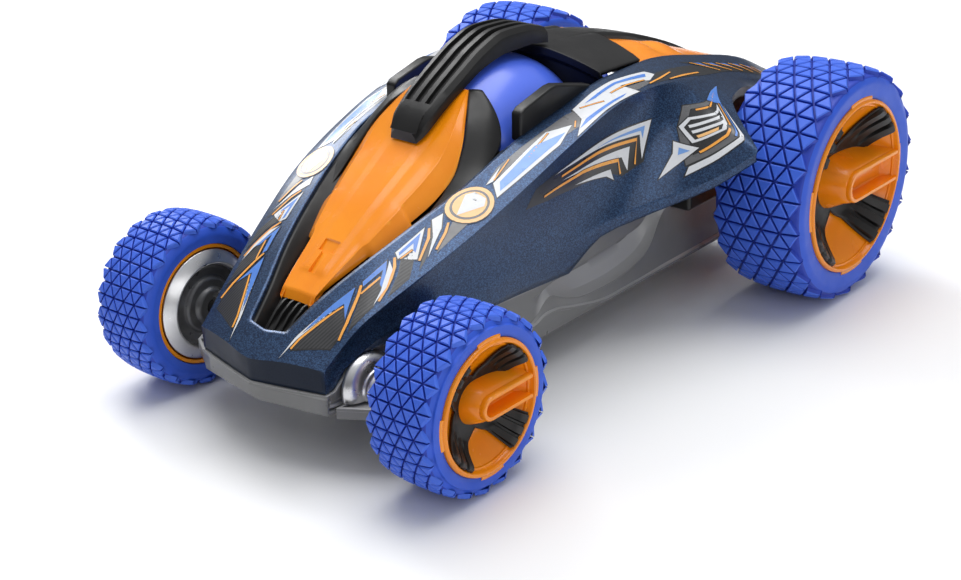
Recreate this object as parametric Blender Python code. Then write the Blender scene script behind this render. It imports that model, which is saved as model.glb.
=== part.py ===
"""A radio-controlled stunt car with a gyroscope under a domed cover.

Shape numbers are millimetres in the car's own datum: x to the left-hand side,
y rearwards from the front axle, z up from the ground.  place() turns them into
metres with the origin at the middle of the car's footprint, so the nose points
along -Y.  Every sub-part is one named object; a moving one has its origin on
its joint's axis.
"""

import math

import bmesh
import bpy
from mathutils import Matrix, Vector

# ---- driving dimensions (mm) ------------------------------------------------
WHEELBASE = 200.0
FRONT_R = 30.6                  # tyre radius over the tread blocks
REAR_R = 45.5
BODY_WALL = 2.2                 # painted shell
TUB_WALL = 2.0                  # grey lower chassis
TRIM_WALL = 2.0                 # black and orange mouldings
GAP = 0.35                      # between pieces that touch
KINGPIN_X = 43.0                # steering axis, from the centre line
LEVER = 17.0                    # steering lever length
HORN = 11.0                     # servo horn radius
STUD_R, STUD_TOP = 1.1, 39.6    # the studs that carry the tie rod
SERVO_Y = 28.0                  # servo output shaft
GEAR_GAP = 0.35                 # between the tip circles of a pair of gears
MIDDLE_Y = (WHEELBASE + REAR_R - FRONT_R) / 2

# each wheel: tread edges, rim ring planes and radii, hub and axle sizes
FRONT_WHEEL = dict(radius=FRONT_R, tread=(52.7, 75.7), drop=1.2, bulge=1.3, ring_x=(52.9, 77.9),
                   ring_r=(21.7, 22.5), disc_x=66.3, hub_x=58.0, hub_r=5.2, axle_r=2.5,
                   handle_top=4.2, handle_base=7.2, segments=24)
REAR_WHEEL = dict(radius=REAR_R, tread=(55.8, 91.4), drop=2.1, bulge=0.8, ring_x=(56.2, 92.5),
                  ring_r=(32.4, 33.4), disc_x=77.0, hub_x=62.0, hub_r=6.5, axle_r=3.0,
                  handle_top=6.2, handle_base=10.6, segments=28)

# body outlines down the car's left side: (y, x, z)
INNER_EDGE = [(-19.1, 8.3, 44.3), (-9, 11.2, 51), (6, 17.2, 60.2), (22, 22.6, 68.2),
              (49, 29.4, 80.2), (64, 31, 86.5), (95, 31, 93), (120, 31, 97.6), (143, 31, 98),
              (187, 31, 90.2), (210, 31, 83.8), (233, 31, 72.9)]
CREASE = [(-19.1, 29.2, 40.6), (-9.7, 30.9, 47.7), (15.7, 38.6, 60.6), (43, 45.1, 73.2),
          (66, 47, 82.1), (82, 47.4, 87.6), (112, 47, 94.6), (126, 47.2, 95.2), (146, 47, 92.9),
          (176, 46.5, 86.4), (205, 44, 78), (233, 41, 66)]
FLARE_EDGE = [(-19.1, 29, 34), (2, 34, 44), (20, 38, 47), (47, 43, 48), (85, 44, 48.5),
              (100, 46, 50.5), (119, 54, 55), (137, 70, 63.5), (148, 80, 72), (157, 64, 81),
              (163, 58, 84), (176, 53.5, 83.6), (190, 50, 80), (205, 47, 74), (233, 43, 62)]
SKIRT = [(-19.1, 28.8, 30.2), (-10, 30, 38.4), (2, 33, 39.2), (20, 37.2, 39.6), (47, 42.4, 39.3),
         (85, 42.6, 37.1), (92, 43.4, 41.5), (100, 45, 46.5), (119, 53, 51), (137, 69, 59.5),
         (148, 79, 68), (157, 63, 77), (163, 57, 80), (176, 52.7, 79.6), (190, 49.2, 76),
         (205, 46.2, 70), (233, 42.4, 58)]
BODY_STATIONS = [-19.1, -9.5, 2, 15, 30, 47, 66, 82, 92, 100, 119, 130, 139, 148, 157, 163, 176,
                 190, 205, 220, 233]
HOLLOW = 0.06                   # how far the side panel is hollowed, as a share of its height

# chassis tub: (y, half width at the top, z of the top), (y, half width at the floor, z of the floor)
TUB_TOP = [(-22.6, 28.2, 28.8), (-19, 28.4, 29.6), (-9, 28.4, 37.4), (2, 30.2, 38.4),
           (20, 35.4, 38.9), (47, 38.8, 38.6), (85, 38.8, 36.6), (96, 38.8, 46), (112, 38.8, 62),
           (135, 38.8, 74), (165, 38.8, 76), (195, 38.4, 70), (222, 37, 52)]
TUB_FLOOR = [(-22.6, 28.2, 22.6), (0, 29.5, 20), (30, 34, 16.5), (62, 36, 12), (216, 36, 12),
             (222, 34, 15)]
DOME_CENTRE, DOME_RADII = (0, 90, 67), (33, 37.5, 38.5)

# canopy hood: (y, half width and z of its lower edge, half width and z of its ridge)
CANOPY = [(-4.5, 6.7, 50.2, 6.3, 51.4), (0, 8.5, 52.8, 6.4, 54.4), (12, 12.2, 58.6, 7, 62.4),
          (26, 17.6, 66.6, 8, 72), (40, 21.6, 74.4, 9, 80.8), (48, 22.4, 80, 9.5, 86),
          (55, 20.6, 88, 10, 91.6), (61.5, 16.5, 94.8, 9.5, 96)]
# roof spine: (y, half width, z of the underside, z of the top)
SPINE = [(48.6, 7.4, 88, 94.5), (55, 8.4, 93.4, 98.8), (62, 9, 98.2, 103.4), (72, 9.4, 103.5, 109),
         (82, 9.5, 107.6, 114), (94, 9.5, 109.6, 117.2), (106, 9.5, 109.5, 116.6),
         (117, 9.2, 107.9, 113.6)]
GROOVE_PITCH, GROOVE_DEPTH = 4.4, 1.3
# ridge of the rear deck: (y, z of its top, half width)
REAR_DECK = [(118, 107.2, 9.2), (130, 106.6, 8.8), (146, 104.6, 8), (165, 100.2, 6.6), (185, 94, 4.8),
             (205, 86.4, 3), (220, 79.6, 1.4)]
# chromed cap beside the nose: (x, radius) about a cross axis, cut off above the arm
BOSS = [(31.2, 0), (31.2, 9.6), (33.2, 8.6), (34.6, 6.2), (35.4, 5.9), (35.4, 4.6), (37.4, 3.4), (38, 0)]
BOSS_Y, BOSS_Z = -6.5, 27.6
ARM_TOP = 24.6
TUB_STATIONS = [-22.6, -19, -9, 2, 20, 47, 66, 85, 96, 112, 135, 165, 195, 222]
NOSE_Y = -28.9                  # the point of the nose on the centre line

# ---- set-up -----------------------------------------------------------------
for old in list(bpy.data.objects):
    bpy.data.objects.remove(old)


def material(name, colour, roughness, metallic=0.0):
    made = bpy.data.materials.new(name)
    made.use_nodes = True
    shader = made.node_tree.nodes["Principled BSDF"]
    shader.inputs["Base Color"].default_value = (*colour, 1.0)
    shader.inputs["Roughness"].default_value = roughness
    shader.inputs["Metallic"].default_value = metallic
    return made


PAINT = material("navy_paint", (0.03, 0.07, 0.16), 0.35, 0.4)
ORANGE = material("orange_plastic", (0.85, 0.27, 0.02), 0.3)
BLACK = material("black_plastic", (0.03, 0.03, 0.03), 0.45)
GREY = material("grey_plastic", (0.2, 0.2, 0.2), 0.4)
RUBBER = material("blue_rubber", (0.03, 0.1, 0.6), 0.6)
DOME = material("blue_dome", (0.04, 0.12, 0.8), 0.15)
SILVER = material("silver_plating", (0.6, 0.6, 0.62), 0.2, 1.0)
STEEL = material("steel", (0.5, 0.5, 0.52), 0.3, 1.0)
BRASS = material("brass", (0.7, 0.5, 0.2), 0.3, 1.0)
NYLON = material("white_nylon", (0.75, 0.74, 0.7), 0.5)
BOARD = material("circuit_board", (0.02, 0.2, 0.07), 0.5)
CELL = material("battery_wrap", (0.05, 0.05, 0.06), 0.35)

root = bpy.data.objects.new("car_datum", None)
root.location = (0, -MIDDLE_Y / 1000, 0)
bpy.context.scene.collection.objects.link(root)


# ---- modelling helpers --------------------------------------------------------
def place(name, bm, finish=None, origin=(0, 0, 0), smooth=35):
    """Makes an object of bm, whose points are in the datum's millimetres, with its origin there."""
    bmesh.ops.remove_doubles(bm, verts=bm.verts, dist=0.001)
    bmesh.ops.recalc_face_normals(bm, faces=bm.faces)
    bmesh.ops.translate(bm, verts=bm.verts, vec=-Vector(origin))
    bmesh.ops.scale(bm, verts=bm.verts, vec=(0.001,) * 3)
    mesh = bpy.data.meshes.new(name)
    bm.to_mesh(mesh)
    bm.free()
    mesh.shade_smooth()
    mesh.set_sharp_from_angle(angle=math.radians(smooth))
    made = bpy.data.objects.new(name, mesh)
    made.parent = root
    made.location = Vector(origin) * 0.001
    bpy.context.scene.collection.objects.link(made)
    if finish:
        mesh.materials.append(finish)
    else:
        made.hide_render = True
        made.display_type = "WIRE"
    return made


def combine(target, operation, *helpers):
    """Joins helpers to target, or cuts them from it."""
    for helper in helpers:
        helper.hide_render = True
        helper.display_type = "WIRE"
        step = target.modifiers.new(helper.name, "BOOLEAN")
        step.operation = operation
        step.object = helper
    return target


def between(side, low, high):
    """The two x planes low and high on one side of the car, in rising order."""
    return sorted((side * low, side * high))


def block(low, high):
    bm = bmesh.new()
    bmesh.ops.create_cube(bm, size=1)
    size = Vector(high) - Vector(low)
    bmesh.ops.scale(bm, verts=bm.verts, vec=size)
    bmesh.ops.translate(bm, verts=bm.verts, vec=Vector(low) + size / 2)
    return bm


def soft_block(low, high, radius):
    """A block whose edges are rounded."""
    bm = block(low, high)
    bmesh.ops.bevel(bm, geom=bm.edges[:], offset=radius, segments=2, affect="EDGES", profile=0.5)
    return bm


def turned(profile, centre, axis="X", segments=20, closed=True):
    """Turns (along, radius) points about a line through centre.  A closed profile makes a ring."""
    bm = bmesh.new()
    rings = []
    for along, radius in profile:
        if radius == 0:
            rings.append([bm.verts.new((along, 0, 0))])
            continue
        angles = [2 * math.pi * i / segments for i in range(segments)]
        rings.append([bm.verts.new((along, radius * math.cos(a), radius * math.sin(a))) for a in angles])
    pairs = list(zip(rings, rings[1:]))
    if closed:
        pairs.append((rings[-1], rings[0]))
    for first, second in pairs:
        for i in range(segments):
            j = (i + 1) % segments
            corners = [first[i % len(first)], first[j % len(first)],
                       second[j % len(second)], second[i % len(second)]]
            corners = list(dict.fromkeys(corners))
            if len(corners) > 2:
                bm.faces.new(corners)
    if axis == "Z":
        bmesh.ops.rotate(bm, verts=bm.verts, matrix=Matrix.Rotation(-math.pi / 2, 3, "Y"))
    if axis == "Y":
        bmesh.ops.rotate(bm, verts=bm.verts, matrix=Matrix.Rotation(math.pi / 2, 3, "Z"))
    bmesh.ops.translate(bm, verts=bm.verts, vec=centre)
    return bm


def rod(start, end, radius, centre, axis="X", segments=16):
    """A solid round bar along axis; start and end are measured from centre."""
    return turned([(start, 0), (start, radius), (end, radius), (end, 0)], centre, axis, segments, False)


def prism(outline, low, high, axis="Z"):
    """Extrudes an outline.  Its points are (x, y) for Z, and (y, z) for X."""
    bm = bmesh.new()
    turn = (lambda a, b, c: (a, b, c)) if axis == "Z" else (lambda a, b, c: (c, a, b))
    bottom = [bm.verts.new(turn(a, b, low)) for a, b in outline]
    top = [bm.verts.new(turn(a, b, high)) for a, b in outline]
    bm.faces.new(bottom)
    bm.faces.new(top[::-1])
    for i in range(len(outline)):
        j = (i + 1) % len(outline)
        bm.faces.new((bottom[i], bottom[j], top[j], top[i]))
    return bm


def along(curve, y):
    """The (x, z) of a (y, x, z) curve at y, straight between its points."""
    for (y0, x0, z0), (y1, x1, z1) in zip(curve, curve[1:]):
        if y <= y1:
            break
    t = min(max((y - y0) / (y1 - y0), 0), 1)
    return x0 + (x1 - x0) * t, z0 + (z1 - z0) * t


def grid(rows, keep=lambda row, column: True):
    """A surface through rows of (x, y, z) points."""
    bm = bmesh.new()
    verts = [[bm.verts.new(p) for p in row] for row in rows]
    for i in range(len(rows) - 1):
        for j in range(len(rows[0]) - 1):
            if keep(i, j):
                bm.faces.new((verts[i][j], verts[i][j + 1], verts[i + 1][j + 1], verts[i + 1][j]))
    bmesh.ops.delete(bm, geom=[v for v in bm.verts if not v.link_faces], context="VERTS")
    return bm, verts


def mirrored_sheet(name, bm, finish, wall, upwards=True, even=True):
    """A half surface, mirrored across the centre line and given a wall on its inner side."""
    made = place(name, bm, finish)
    mesh = made.data
    total = sum((p.normal.z * p.area for p in mesh.polygons))
    if (total > 0) != upwards:
        mesh.flip_normals()
    mirror = made.modifiers.new("both_sides", "MIRROR")
    mirror.use_clip = True
    mirror.merge_threshold = 0.00001
    shell = made.modifiers.new("wall", "SOLIDIFY")
    shell.thickness = wall / 1000
    shell.offset = -1
    shell.use_even_offset = even
    return made


def stadium(half_width, y_from, y_to, z, steps=6):
    """An outline in (y, z): a round end about y_from, and a square end at y_to."""
    arc = [math.pi / 2 + math.pi * i / steps for i in range(steps + 1)]
    round_end = [(y_from + half_width * math.cos(a), z + half_width * math.sin(a)) for a in arc]
    return round_end + [(y_to, z - half_width), (y_to, z + half_width)]


# ---- wheels -------------------------------------------------------------------
def wheel_pieces(prefix, spec, side, y, z):
    """Tyre, rim, dark spokes and the grab handle of one wheel.  side is 1 on the left."""
    x0, x1 = spec["tread"]
    ring_in, ring_out = spec["ring_x"]
    r_in, r_out = spec["ring_r"]
    full, drop, segments = spec["radius"], spec["drop"], spec["segments"]
    barrel = r_out - 2.8
    seat = barrel + 0.3
    inner_lip = ring_in + 3.3
    lip = ring_out - 1.9
    centre = (0, y, z)

    def both_sides(profile):
        return [(side * x, r) for x, r in profile]

    tyre = [(ring_in - 0.5, r_in + 0.3), (x0 - 0.6, (r_in + full) / 2), (x0, full - drop),
            (x0 + drop, full), (x1 - drop, full), (x1, full - drop),
            (x1 + spec["bulge"], (r_out + full) / 2), (ring_out - 1.3, r_out + 0.3),
            (lip - GAP, r_out + 0.3), (lip - GAP, seat), (lip - 4.5, seat), (lip - 4.5, full - 3.4),
            (inner_lip + 3, full - 3.4), (inner_lip + 3, seat), (inner_lip + 1.9, seat),
            (inner_lip + 0.4, r_in + 0.3)]
    place(f"{prefix}_tyre", turned(both_sides(tyre), centre, segments=segments), RUBBER, centre)

    disc, hub_r, bore = spec["disc_x"], spec["hub_r"], spec["axle_r"] + 0.35
    rim = [(ring_in, r_in), (inner_lip, r_in), (inner_lip + 1.3, barrel), (lip, barrel),
           (lip, r_out), (ring_out, r_out), (ring_out, r_out - 1.8), (lip - 0.6, barrel - 1.6),
           (disc + 2.4, barrel - 1.6), (disc + 2.2, hub_r), (disc + 2.5, hub_r), (disc + 2.5, bore),
           (spec["hub_x"], bore), (spec["hub_x"], hub_r), (disc, hub_r), (disc, barrel - 1.7),
           (inner_lip + 2, barrel - 1.7), (inner_lip, r_in - 1.2), (ring_in, r_in - 1.2)]
    place(f"{prefix}_rim", turned(both_sides(rim), centre, segments=segments), ORANGE, centre)

    front = disc + 2.5 + GAP
    top, base = spec["handle_top"], spec["handle_base"]
    reach = math.sqrt((barrel - 2) ** 2 - base ** 2)
    spokes = []
    for quarter in range(4):
        a = math.radians(45 + 90 * quarter)
        across, out = Vector((-math.sin(a), math.cos(a))), Vector((math.cos(a), math.sin(a)))
        waist = out * (base * 1.5 + 2.6)
        tip, flank = out * (barrel - 3), across * (barrel * 0.22)
        spokes += [waist - across * 2.4, tip - flank, tip + flank, waist + across * 2.4]
    outline = [(y + p.x, z + p.y) for p in spokes]
    insert = place(f"{prefix}_spoke_insert",
                   prism(outline, *between(side, front, front + 1.8), axis="X"), BLACK, centre)
    room = stadium(base + 0.5, y, y + barrel * 1.5, z)
    hollow = place(f"{prefix}_insert_cutter", prism(room, *between(side, front - 2, front + 9), axis="X"))
    combine(insert, "DIFFERENCE", hollow)

    handle_bm = bmesh.new()
    rows = []
    for x, half in ((front, base), (front + 2.4, base), (ring_out - 2.5, top + 0.6), (ring_out, top)):
        rows.append([handle_bm.verts.new((side * x, a, b)) for a, b in stadium(half, y, y + reach, z)])
    for low, high in zip(rows, rows[1:]):
        for i in range(len(low)):
            j = (i + 1) % len(low)
            handle_bm.faces.new((low[i], low[j], high[j], high[i]))
    handle_bm.faces.new(rows[0])
    handle_bm.faces.new(rows[-1])
    handle = place(f"{prefix}_handle", handle_bm, ORANGE, centre)
    opening = stadium(top - 1.3, y, y + reach + 5, z)
    slot = prism(opening, *between(side, ring_out - 4.2, ring_out + 3), axis="X")
    pocket = rod(side * (front - 3), side * (front + 2.6), spec["axle_r"] + 3.2, centre)
    combine(handle, "DIFFERENCE", place(f"{prefix}_slot_cutter", slot),
            place(f"{prefix}_pocket_cutter", pocket))
    return front


# ---- front end ------------------------------------------------------------------
def front_corner(name, side):
    """Arm, kingpin, steering knuckle, back plate, wheel and its screw on one side."""
    z = FRONT_R
    kingpin = (side * KINGPIN_X, 0, 0)
    arm_outline = [(30.6, -21), (43.6, -13), (46.6, -7), (46.6, 4.5), (43, 8), (33.6, 8)]
    arm_bm = prism([(side * x, y) for x, y in arm_outline], ARM_TOP - 4, ARM_TOP)
    arm = place(f"front_arm_{name}", arm_bm, GREY)
    combine(arm, "DIFFERENCE", place(f"arm_cutter_{name}", rod(15, 30, 2.4, kingpin, "Z")))
    pin = [(18.9, 0), (18.9, 3.4), (20.2, 3.4), (20.2, 2.0), (37.8, 2.0), (37.8, 0)]
    place(f"kingpin_{name}", turned(pin, kingpin, "Z", 16, False), STEEL, kingpin)

    knuckle = place(f"steering_knuckle_{name}", rod(25, 37, 3.9, kingpin, "Z"), BLACK, kingpin)
    axle = place(f"stub_axle_{name}", rod(side * KINGPIN_X, side * 68.6, 2.5, (0, 0, z)))
    lever_x = between(side, KINGPIN_X - 1.7, KINGPIN_X + 1.7)
    lever = place(f"lever_{name}", block((lever_x[0], 2, 32), (lever_x[1], LEVER + 2, 35)))
    stud = place(f"lever_stud_{name}", rod(34, STUD_TOP, STUD_R, (side * KINGPIN_X, LEVER, 0), "Z", 12))
    bore = place(f"knuckle_bore_{name}", rod(20, 40, 2.06, kingpin, "Z", 16))
    combine(knuckle, "UNION", axle, lever, stud)
    combine(knuckle, "DIFFERENCE", bore)

    dish = [(49.3, 2.7), (49.3, 6.2), (50.9, 7.0), (50.9, 9.6), (52.0, 10.4), (52.2, 16.4),
            (50.0, 17.2), (52.8, 19.6), (54.3, 19.6), (54.3, 2.7)]
    place(f"front_dish_{name}", turned([(side * x, r) for x, r in dish], (0, 0, z), segments=24),
          SILVER, kingpin)
    front = wheel_pieces(f"front_{name}", FRONT_WHEEL, side, 0, z)
    place(f"front_wheel_screw_{name}", rod(side * (front - 0.1), side * (front + 1.8), 4.4, (0, 0, z)),
          STEEL, kingpin)

    dome_cap = turned([(side * x, r) for x, r in BOSS], (0, BOSS_Y, BOSS_Z), segments=24, closed=False)
    cover = place(f"front_boss_{name}", dome_cap, SILVER)
    low, high = between(side, 28.5, 40.5)
    below = block((low, BOSS_Y - 12, BOSS_Z - 12), (high, BOSS_Y + 12, ARM_TOP + GAP))
    combine(cover, "DIFFERENCE", place(f"boss_cutter_{name}", below))


def steering():
    """Servo, its horn and the rod that joins both knuckles."""
    case_bm = soft_block((-10, SERVO_Y - 4, 19.8), (10, SERVO_Y + 18, 33), 0.8)
    case = place("steering_servo", case_bm, BLACK)
    shaft = place("servo_boss", rod(32, 34, 4, (0, SERVO_Y, 0), "Z"))
    combine(case, "UNION", shaft)
    axis = (0, SERVO_Y, 0)
    arm = place("servo_horn", rod(34.4, 36.2, 4.5, axis, "Z"), NYLON, axis)
    blade = place("horn_blade", block((-2, SERVO_Y - HORN - 1.6, 34.4), (2, SERVO_Y, 36.2)))
    stud = place("horn_stud", rod(36, STUD_TOP, STUD_R, (0, LEVER, 0), "Z", 12))
    combine(arm, "UNION", blade, stud)
    y0, y1 = LEVER - 2.6, LEVER + 4.4
    tie = place("steering_tie_rod", block((-46.2, y0, 36.6), (46.2, y1, 38.8)), BLACK)
    # the studs swing on arcs while the rod slides straight, so each has a slot along y
    half = STUD_R + 0.45
    slots = [place("tie_slot_middle", block((-half, y0 + 1, 30), (half, y1 - 1.2, 45)))]
    for name, x in (("left", KINGPIN_X), ("right", -KINGPIN_X)):
        slots.append(place(f"tie_slot_{name}", block((x - half, y0 - 3, 30), (x + half, y1 - 2.9, 45))))
    combine(tie, "DIFFERENCE", *slots)


# ---- body -----------------------------------------------------------------------
def chassis():
    """The grey tub: one wall round the nose, sides and tail, with its floor."""
    rows = []
    for y in TUB_STATIONS:
        xt, zt = along(TUB_TOP, y)
        xf, zf = along(TUB_FLOOR, y)
        rows.append([(xt, y, zt), (xt - 0.3, y, zt * 0.45 + zf * 0.55), (xf, y, zf + 2.5),
                     (xf - 2.5, y, zf), (0, y, zf)])
    bm, verts = grid(rows)
    nose = [bm.verts.new(p) for p in ((0, NOSE_Y, 27.9), (0, NOSE_Y + 1, 23), (0, NOSE_Y + 4, 20))]
    bm.faces.new((verts[0][0], nose[0], nose[1], verts[0][1]))
    bm.faces.new((verts[0][1], nose[1], nose[2], verts[0][2]))
    bm.faces.new((verts[0][2], nose[2], verts[0][3]))
    bm.faces.new((verts[0][3], nose[2], verts[0][4]))
    last = verts[-1]
    tail = [bm.verts.new((0, TUB_STATIONS[-1], z)) for z in (52, 38)]
    bm.faces.new((last[0], last[1], tail[1], tail[0]))
    bm.faces.new((last[1], last[2], last[3], last[4], tail[1]))
    tub = mirrored_sheet("chassis_tub", bm, GREY, TUB_WALL, upwards=False, even=False)

    posts = [place(f"board_post_{i}", rod(14, 44, 2.2, (x, y, 0), "Z", 12))
             for i, (x, y) in enumerate(((-15, 52), (15, 52)))]
    cuts = [place("battery_opening", block((-25, 60, 8), (25, 124, 15))),
            place("switch_opening", block((-3.5, 140, 8), (3.5, 150.5, 16)))]
    for name, side in (("left", 1), ("right", -1)):
        low, high = between(side, 26, 44)
        cuts.append(place(f"rod_notch_{name}", block((low, LEVER - 4.5, 31.5), (high, LEVER + 6.5, 60))))
        cuts.append(place(f"axle_hole_{name}", rod(side * 30, side * 45, 6.4, (0, WHEELBASE, REAR_R))))
    combine(tub, "UNION", *posts)
    combine(tub, "DIFFERENCE", *cuts)


def body_shell():
    """The painted body: two fenders that meet at the nose, with side panels that flare outwards."""
    rows = []
    for y in BODY_STATIONS:
        (xi, zi), (xc, zc) = along(INNER_EDGE, y), along(CREASE, y)
        (xf, zf), (xs, zs) = along(FLARE_EDGE, y), along(SKIRT, y)
        hollow = HOLLOW * (zc - zf)
        side = [(xc + (xf - xc) * t - hollow, y, zc + (zf - zc) * t) for t in (0.33, 0.67)]
        rows.append([(xi, y, zi), ((xi + xc) / 2, y, (zi + zc) / 2 + 0.6), (xc, y, zc), *side,
                     (xf, y, zf), (xs, y, zs)])
    bm, verts = grid(rows)
    first = verts[0]
    peak, chin = bm.verts.new((0, NOSE_Y, 36.4)), bm.verts.new((0, NOSE_Y + 0.3, 28.3))
    brow = bm.verts.new((0, -20.4, 43.4))
    corner, jaw = bm.verts.new((28.6, -23.1, 37.5)), bm.verts.new((28.5, -22.9, 29.5))
    fan = [(corner, first[i], first[i + 1]) for i in range(1, 4)]
    for face in ((peak, brow, first[0]), (peak, first[0], first[1], corner), *fan,
                 (corner, first[4], first[5], jaw), (jaw, first[5], first[6]), (peak, corner, jaw, chin)):
        bm.faces.new(face)
    mirrored_sheet("body_shell", bm, PAINT, BODY_WALL)


def dome_cutter(name, clearance=0.6):
    bm = bmesh.new()
    bmesh.ops.create_uvsphere(bm, u_segments=24, v_segments=12, radius=1)
    bmesh.ops.scale(bm, verts=bm.verts, vec=[r + clearance for r in DOME_RADII])
    bmesh.ops.translate(bm, verts=bm.verts, vec=DOME_CENTRE)
    return place(name, bm)


def cockpit():
    """The black moulding between the fenders, with the intake fins in front of the canopy."""
    rows = []
    for y in (-17.4, -9, 6, 22, 36, 49, 62):
        x, z = along(INNER_EDGE, y)
        rows.append([(0, y, z - 8), (x * 0.6, y, z - 8), (x - 2.4, y, z - 2.6)])
    bm, _ = grid(rows)
    tray = mirrored_sheet("cockpit_tray", bm, BLACK, TRIM_WALL)
    fin = [(-16.5, 37), (-6, 43.8), (-6, 50.4), (-9, 49.6), (-16.5, 42.6)]
    fins = []
    for i in range(4):
        x = -4.2 + 2.8 * i
        fins.append(place(f"intake_fin_{i}", prism(fin, x - 0.5, x + 0.5, axis="X")))
    combine(tray, "UNION", *fins)
    combine(tray, "DIFFERENCE", dome_cutter("tray_cutter"))
    for name, side in (("left", 1), ("right", -1)):
        fin = [(62.8, 84), (74, 84), (73.6, 99.5), (66, 103.5), (62.8, 101)]
        surround = place(f"cockpit_surround_{name}", prism(fin, *between(side, 13, 27), axis="X"), BLACK)
        pad = [(70, 86.4), (76, 88.6), (114, 95.5), (112, 98.6), (95, 100.6), (78, 97.2), (70, 91)]
        shoulder = place(f"shoulder_{name}", prism(pad, *between(side, 28, 30.6), axis="X"))
        low, high = between(side, 25.8, 29)
        link = place(f"shoulder_link_{name}", block((low, 70.5, 86.6), (high, 73.4, 90.4)))
        combine(surround, "UNION", shoulder, link)
        combine(surround, "DIFFERENCE", dome_cutter(f"surround_cutter_{name}"))


def canopy():
    """The orange hood: a flat ridge with sides that widen towards the cockpit."""
    rows = []
    for y, xe, ze, xr, zr in CANOPY:
        shoulder = ((xr + xe) / 2, y, zr * 0.6 + ze * 0.4)
        rows.append([(0, y, zr + 0.5), (xr, y, zr), shoulder, (xe, y, ze)])
    bm, _ = grid(rows)
    mirrored_sheet("canopy_hood", bm, ORANGE, TRIM_WALL)


def spine():
    """The black roll bar over the dome, with three grooves along its back."""
    bm = bmesh.new()
    rows = []
    for y, half, low, high in SPINE:
        points = ((-half, low), (half, low), (half - 0.4, high - 2), (half - 2.2, high),
                  (-half + 2.2, high), (-half + 0.4, high - 2))
        rows.append([bm.verts.new((x, y, z)) for x, z in points])
    for first, second in zip(rows, rows[1:]):
        for i in range(6):
            j = (i + 1) % 6
            bm.faces.new((first[i], first[j], second[j], second[i]))
    bm.faces.new(rows[0])
    bm.faces.new(rows[-1])
    bar = place("roof_spine", bm, BLACK)
    grooves = []
    for i in (-1, 0, 1):
        path = [(y, high - GROOVE_DEPTH) for y, _, _, high in SPINE[1:-1]]
        outline = path + [(y, z + 6) for y, z in reversed(path)]
        x = i * GROOVE_PITCH
        grooves.append(place(f"spine_groove_{i}", prism(outline, x - 0.9, x + 0.9, axis="X")))
    combine(bar, "DIFFERENCE", *grooves)


def rear_deck():
    """The black deck behind the dome with its tapering ridge, and the orange panels beside it."""
    rows, panels = [], []
    for y, top, half in REAR_DECK:
        x, z = along(INNER_EDGE, y)
        rows.append([(0, y, top), (half, y, top - 1.4), (x - 1.4, y, z - 1.4)])
        if y > 140:
            panels.append([(half + 1.2, y + 0.6, top - 1.9), (x - 1.4, y + 0.6, z - 1.4)])
    bm, _ = grid(rows, lambda row, column: column == 0 or REAR_DECK[row + 1][0] < 150)
    mirrored_sheet("rear_deck", bm, BLACK, TRIM_WALL)
    for y, top in ((224, 77.4), (236, 71)):
        x, z = along(INNER_EDGE, min(y, 233))
        panels.append([(0, y, top), (x - 1.4, y, z - 1.4)])
    bm, _ = grid(panels)
    mirrored_sheet("rear_deck_panel", bm, ORANGE, TRIM_WALL)


def dome():
    """The glossy cover over the gyroscope: half an ellipsoid, open underneath."""
    centre, radii = Vector(DOME_CENTRE), Vector(DOME_RADII)
    steps, turns = 6, 24
    bm = bmesh.new()

    def surface(shrink):
        layers = []
        for i in range(steps):
            lift = math.pi / 2 * i / steps
            ring = []
            for j in range(turns):
                a, level = 2 * math.pi * j / turns, math.cos(lift)
                unit = (level * math.cos(a), level * math.sin(a), math.sin(lift))
                offset = Vector([(r - shrink) * u for r, u in zip(radii, unit)])
                ring.append(bm.verts.new(centre + offset))
            layers.append(ring)
        for low, high in zip(layers, layers[1:]):
            for j in range(turns):
                k = (j + 1) % turns
                bm.faces.new((low[j], low[k], high[k], high[j]))
        tip = bm.verts.new(centre + Vector((0, 0, radii.z - shrink)))
        for j in range(turns):
            bm.faces.new((layers[-1][j], layers[-1][(j + 1) % turns], tip))
        return layers[0]

    outer, inner = surface(0), surface(TRIM_WALL)
    for j in range(turns):
        k = (j + 1) % turns
        bm.faces.new((outer[j], outer[k], inner[k], inner[j]))
    place("gyro_dome", bm, DOME)


# ---- inside ---------------------------------------------------------------------
def gyroscope():
    """A motor turns a heavy flywheel on a cross shaft in a bent steel frame."""
    y, z = 90, 68
    axis = (0, y, z)
    frame = place("gyro_frame", block((-13, y - 14, 40), (13, y + 14, 42)), STEEL)
    cheeks = [place(f"gyro_cheek_{i}", block((x - 0.9, y - 9, 41), (x + 0.9, y + 9, z + 8)))
              for i, x in enumerate((-12, 12))]
    holes = place("gyro_frame_bore", rod(-20, 20, 1.6, axis))
    combine(frame, "UNION", *cheeks)
    combine(frame, "DIFFERENCE", holes)
    half = [(14.5, 0), (14.5, 1.5), (8, 1.5), (8, 5), (3, 6), (3, 19), (8, 20), (8, 25)]
    wheel = [(-x, r) for x, r in half] + half[::-1]
    place("gyro_flywheel", turned(wheel, axis, closed=False), BRASS, axis)
    motor = [(-28.5, 0), (-28.5, 8.5), (-15, 8.5), (-15, 3), (-13.3, 3), (-13.3, 0)]
    case = place("gyro_motor", turned(motor, axis, closed=False), STEEL)
    combine(case, "DIFFERENCE", place("gyro_motor_bore", rod(-18, -10, 1.9, axis)))


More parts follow.
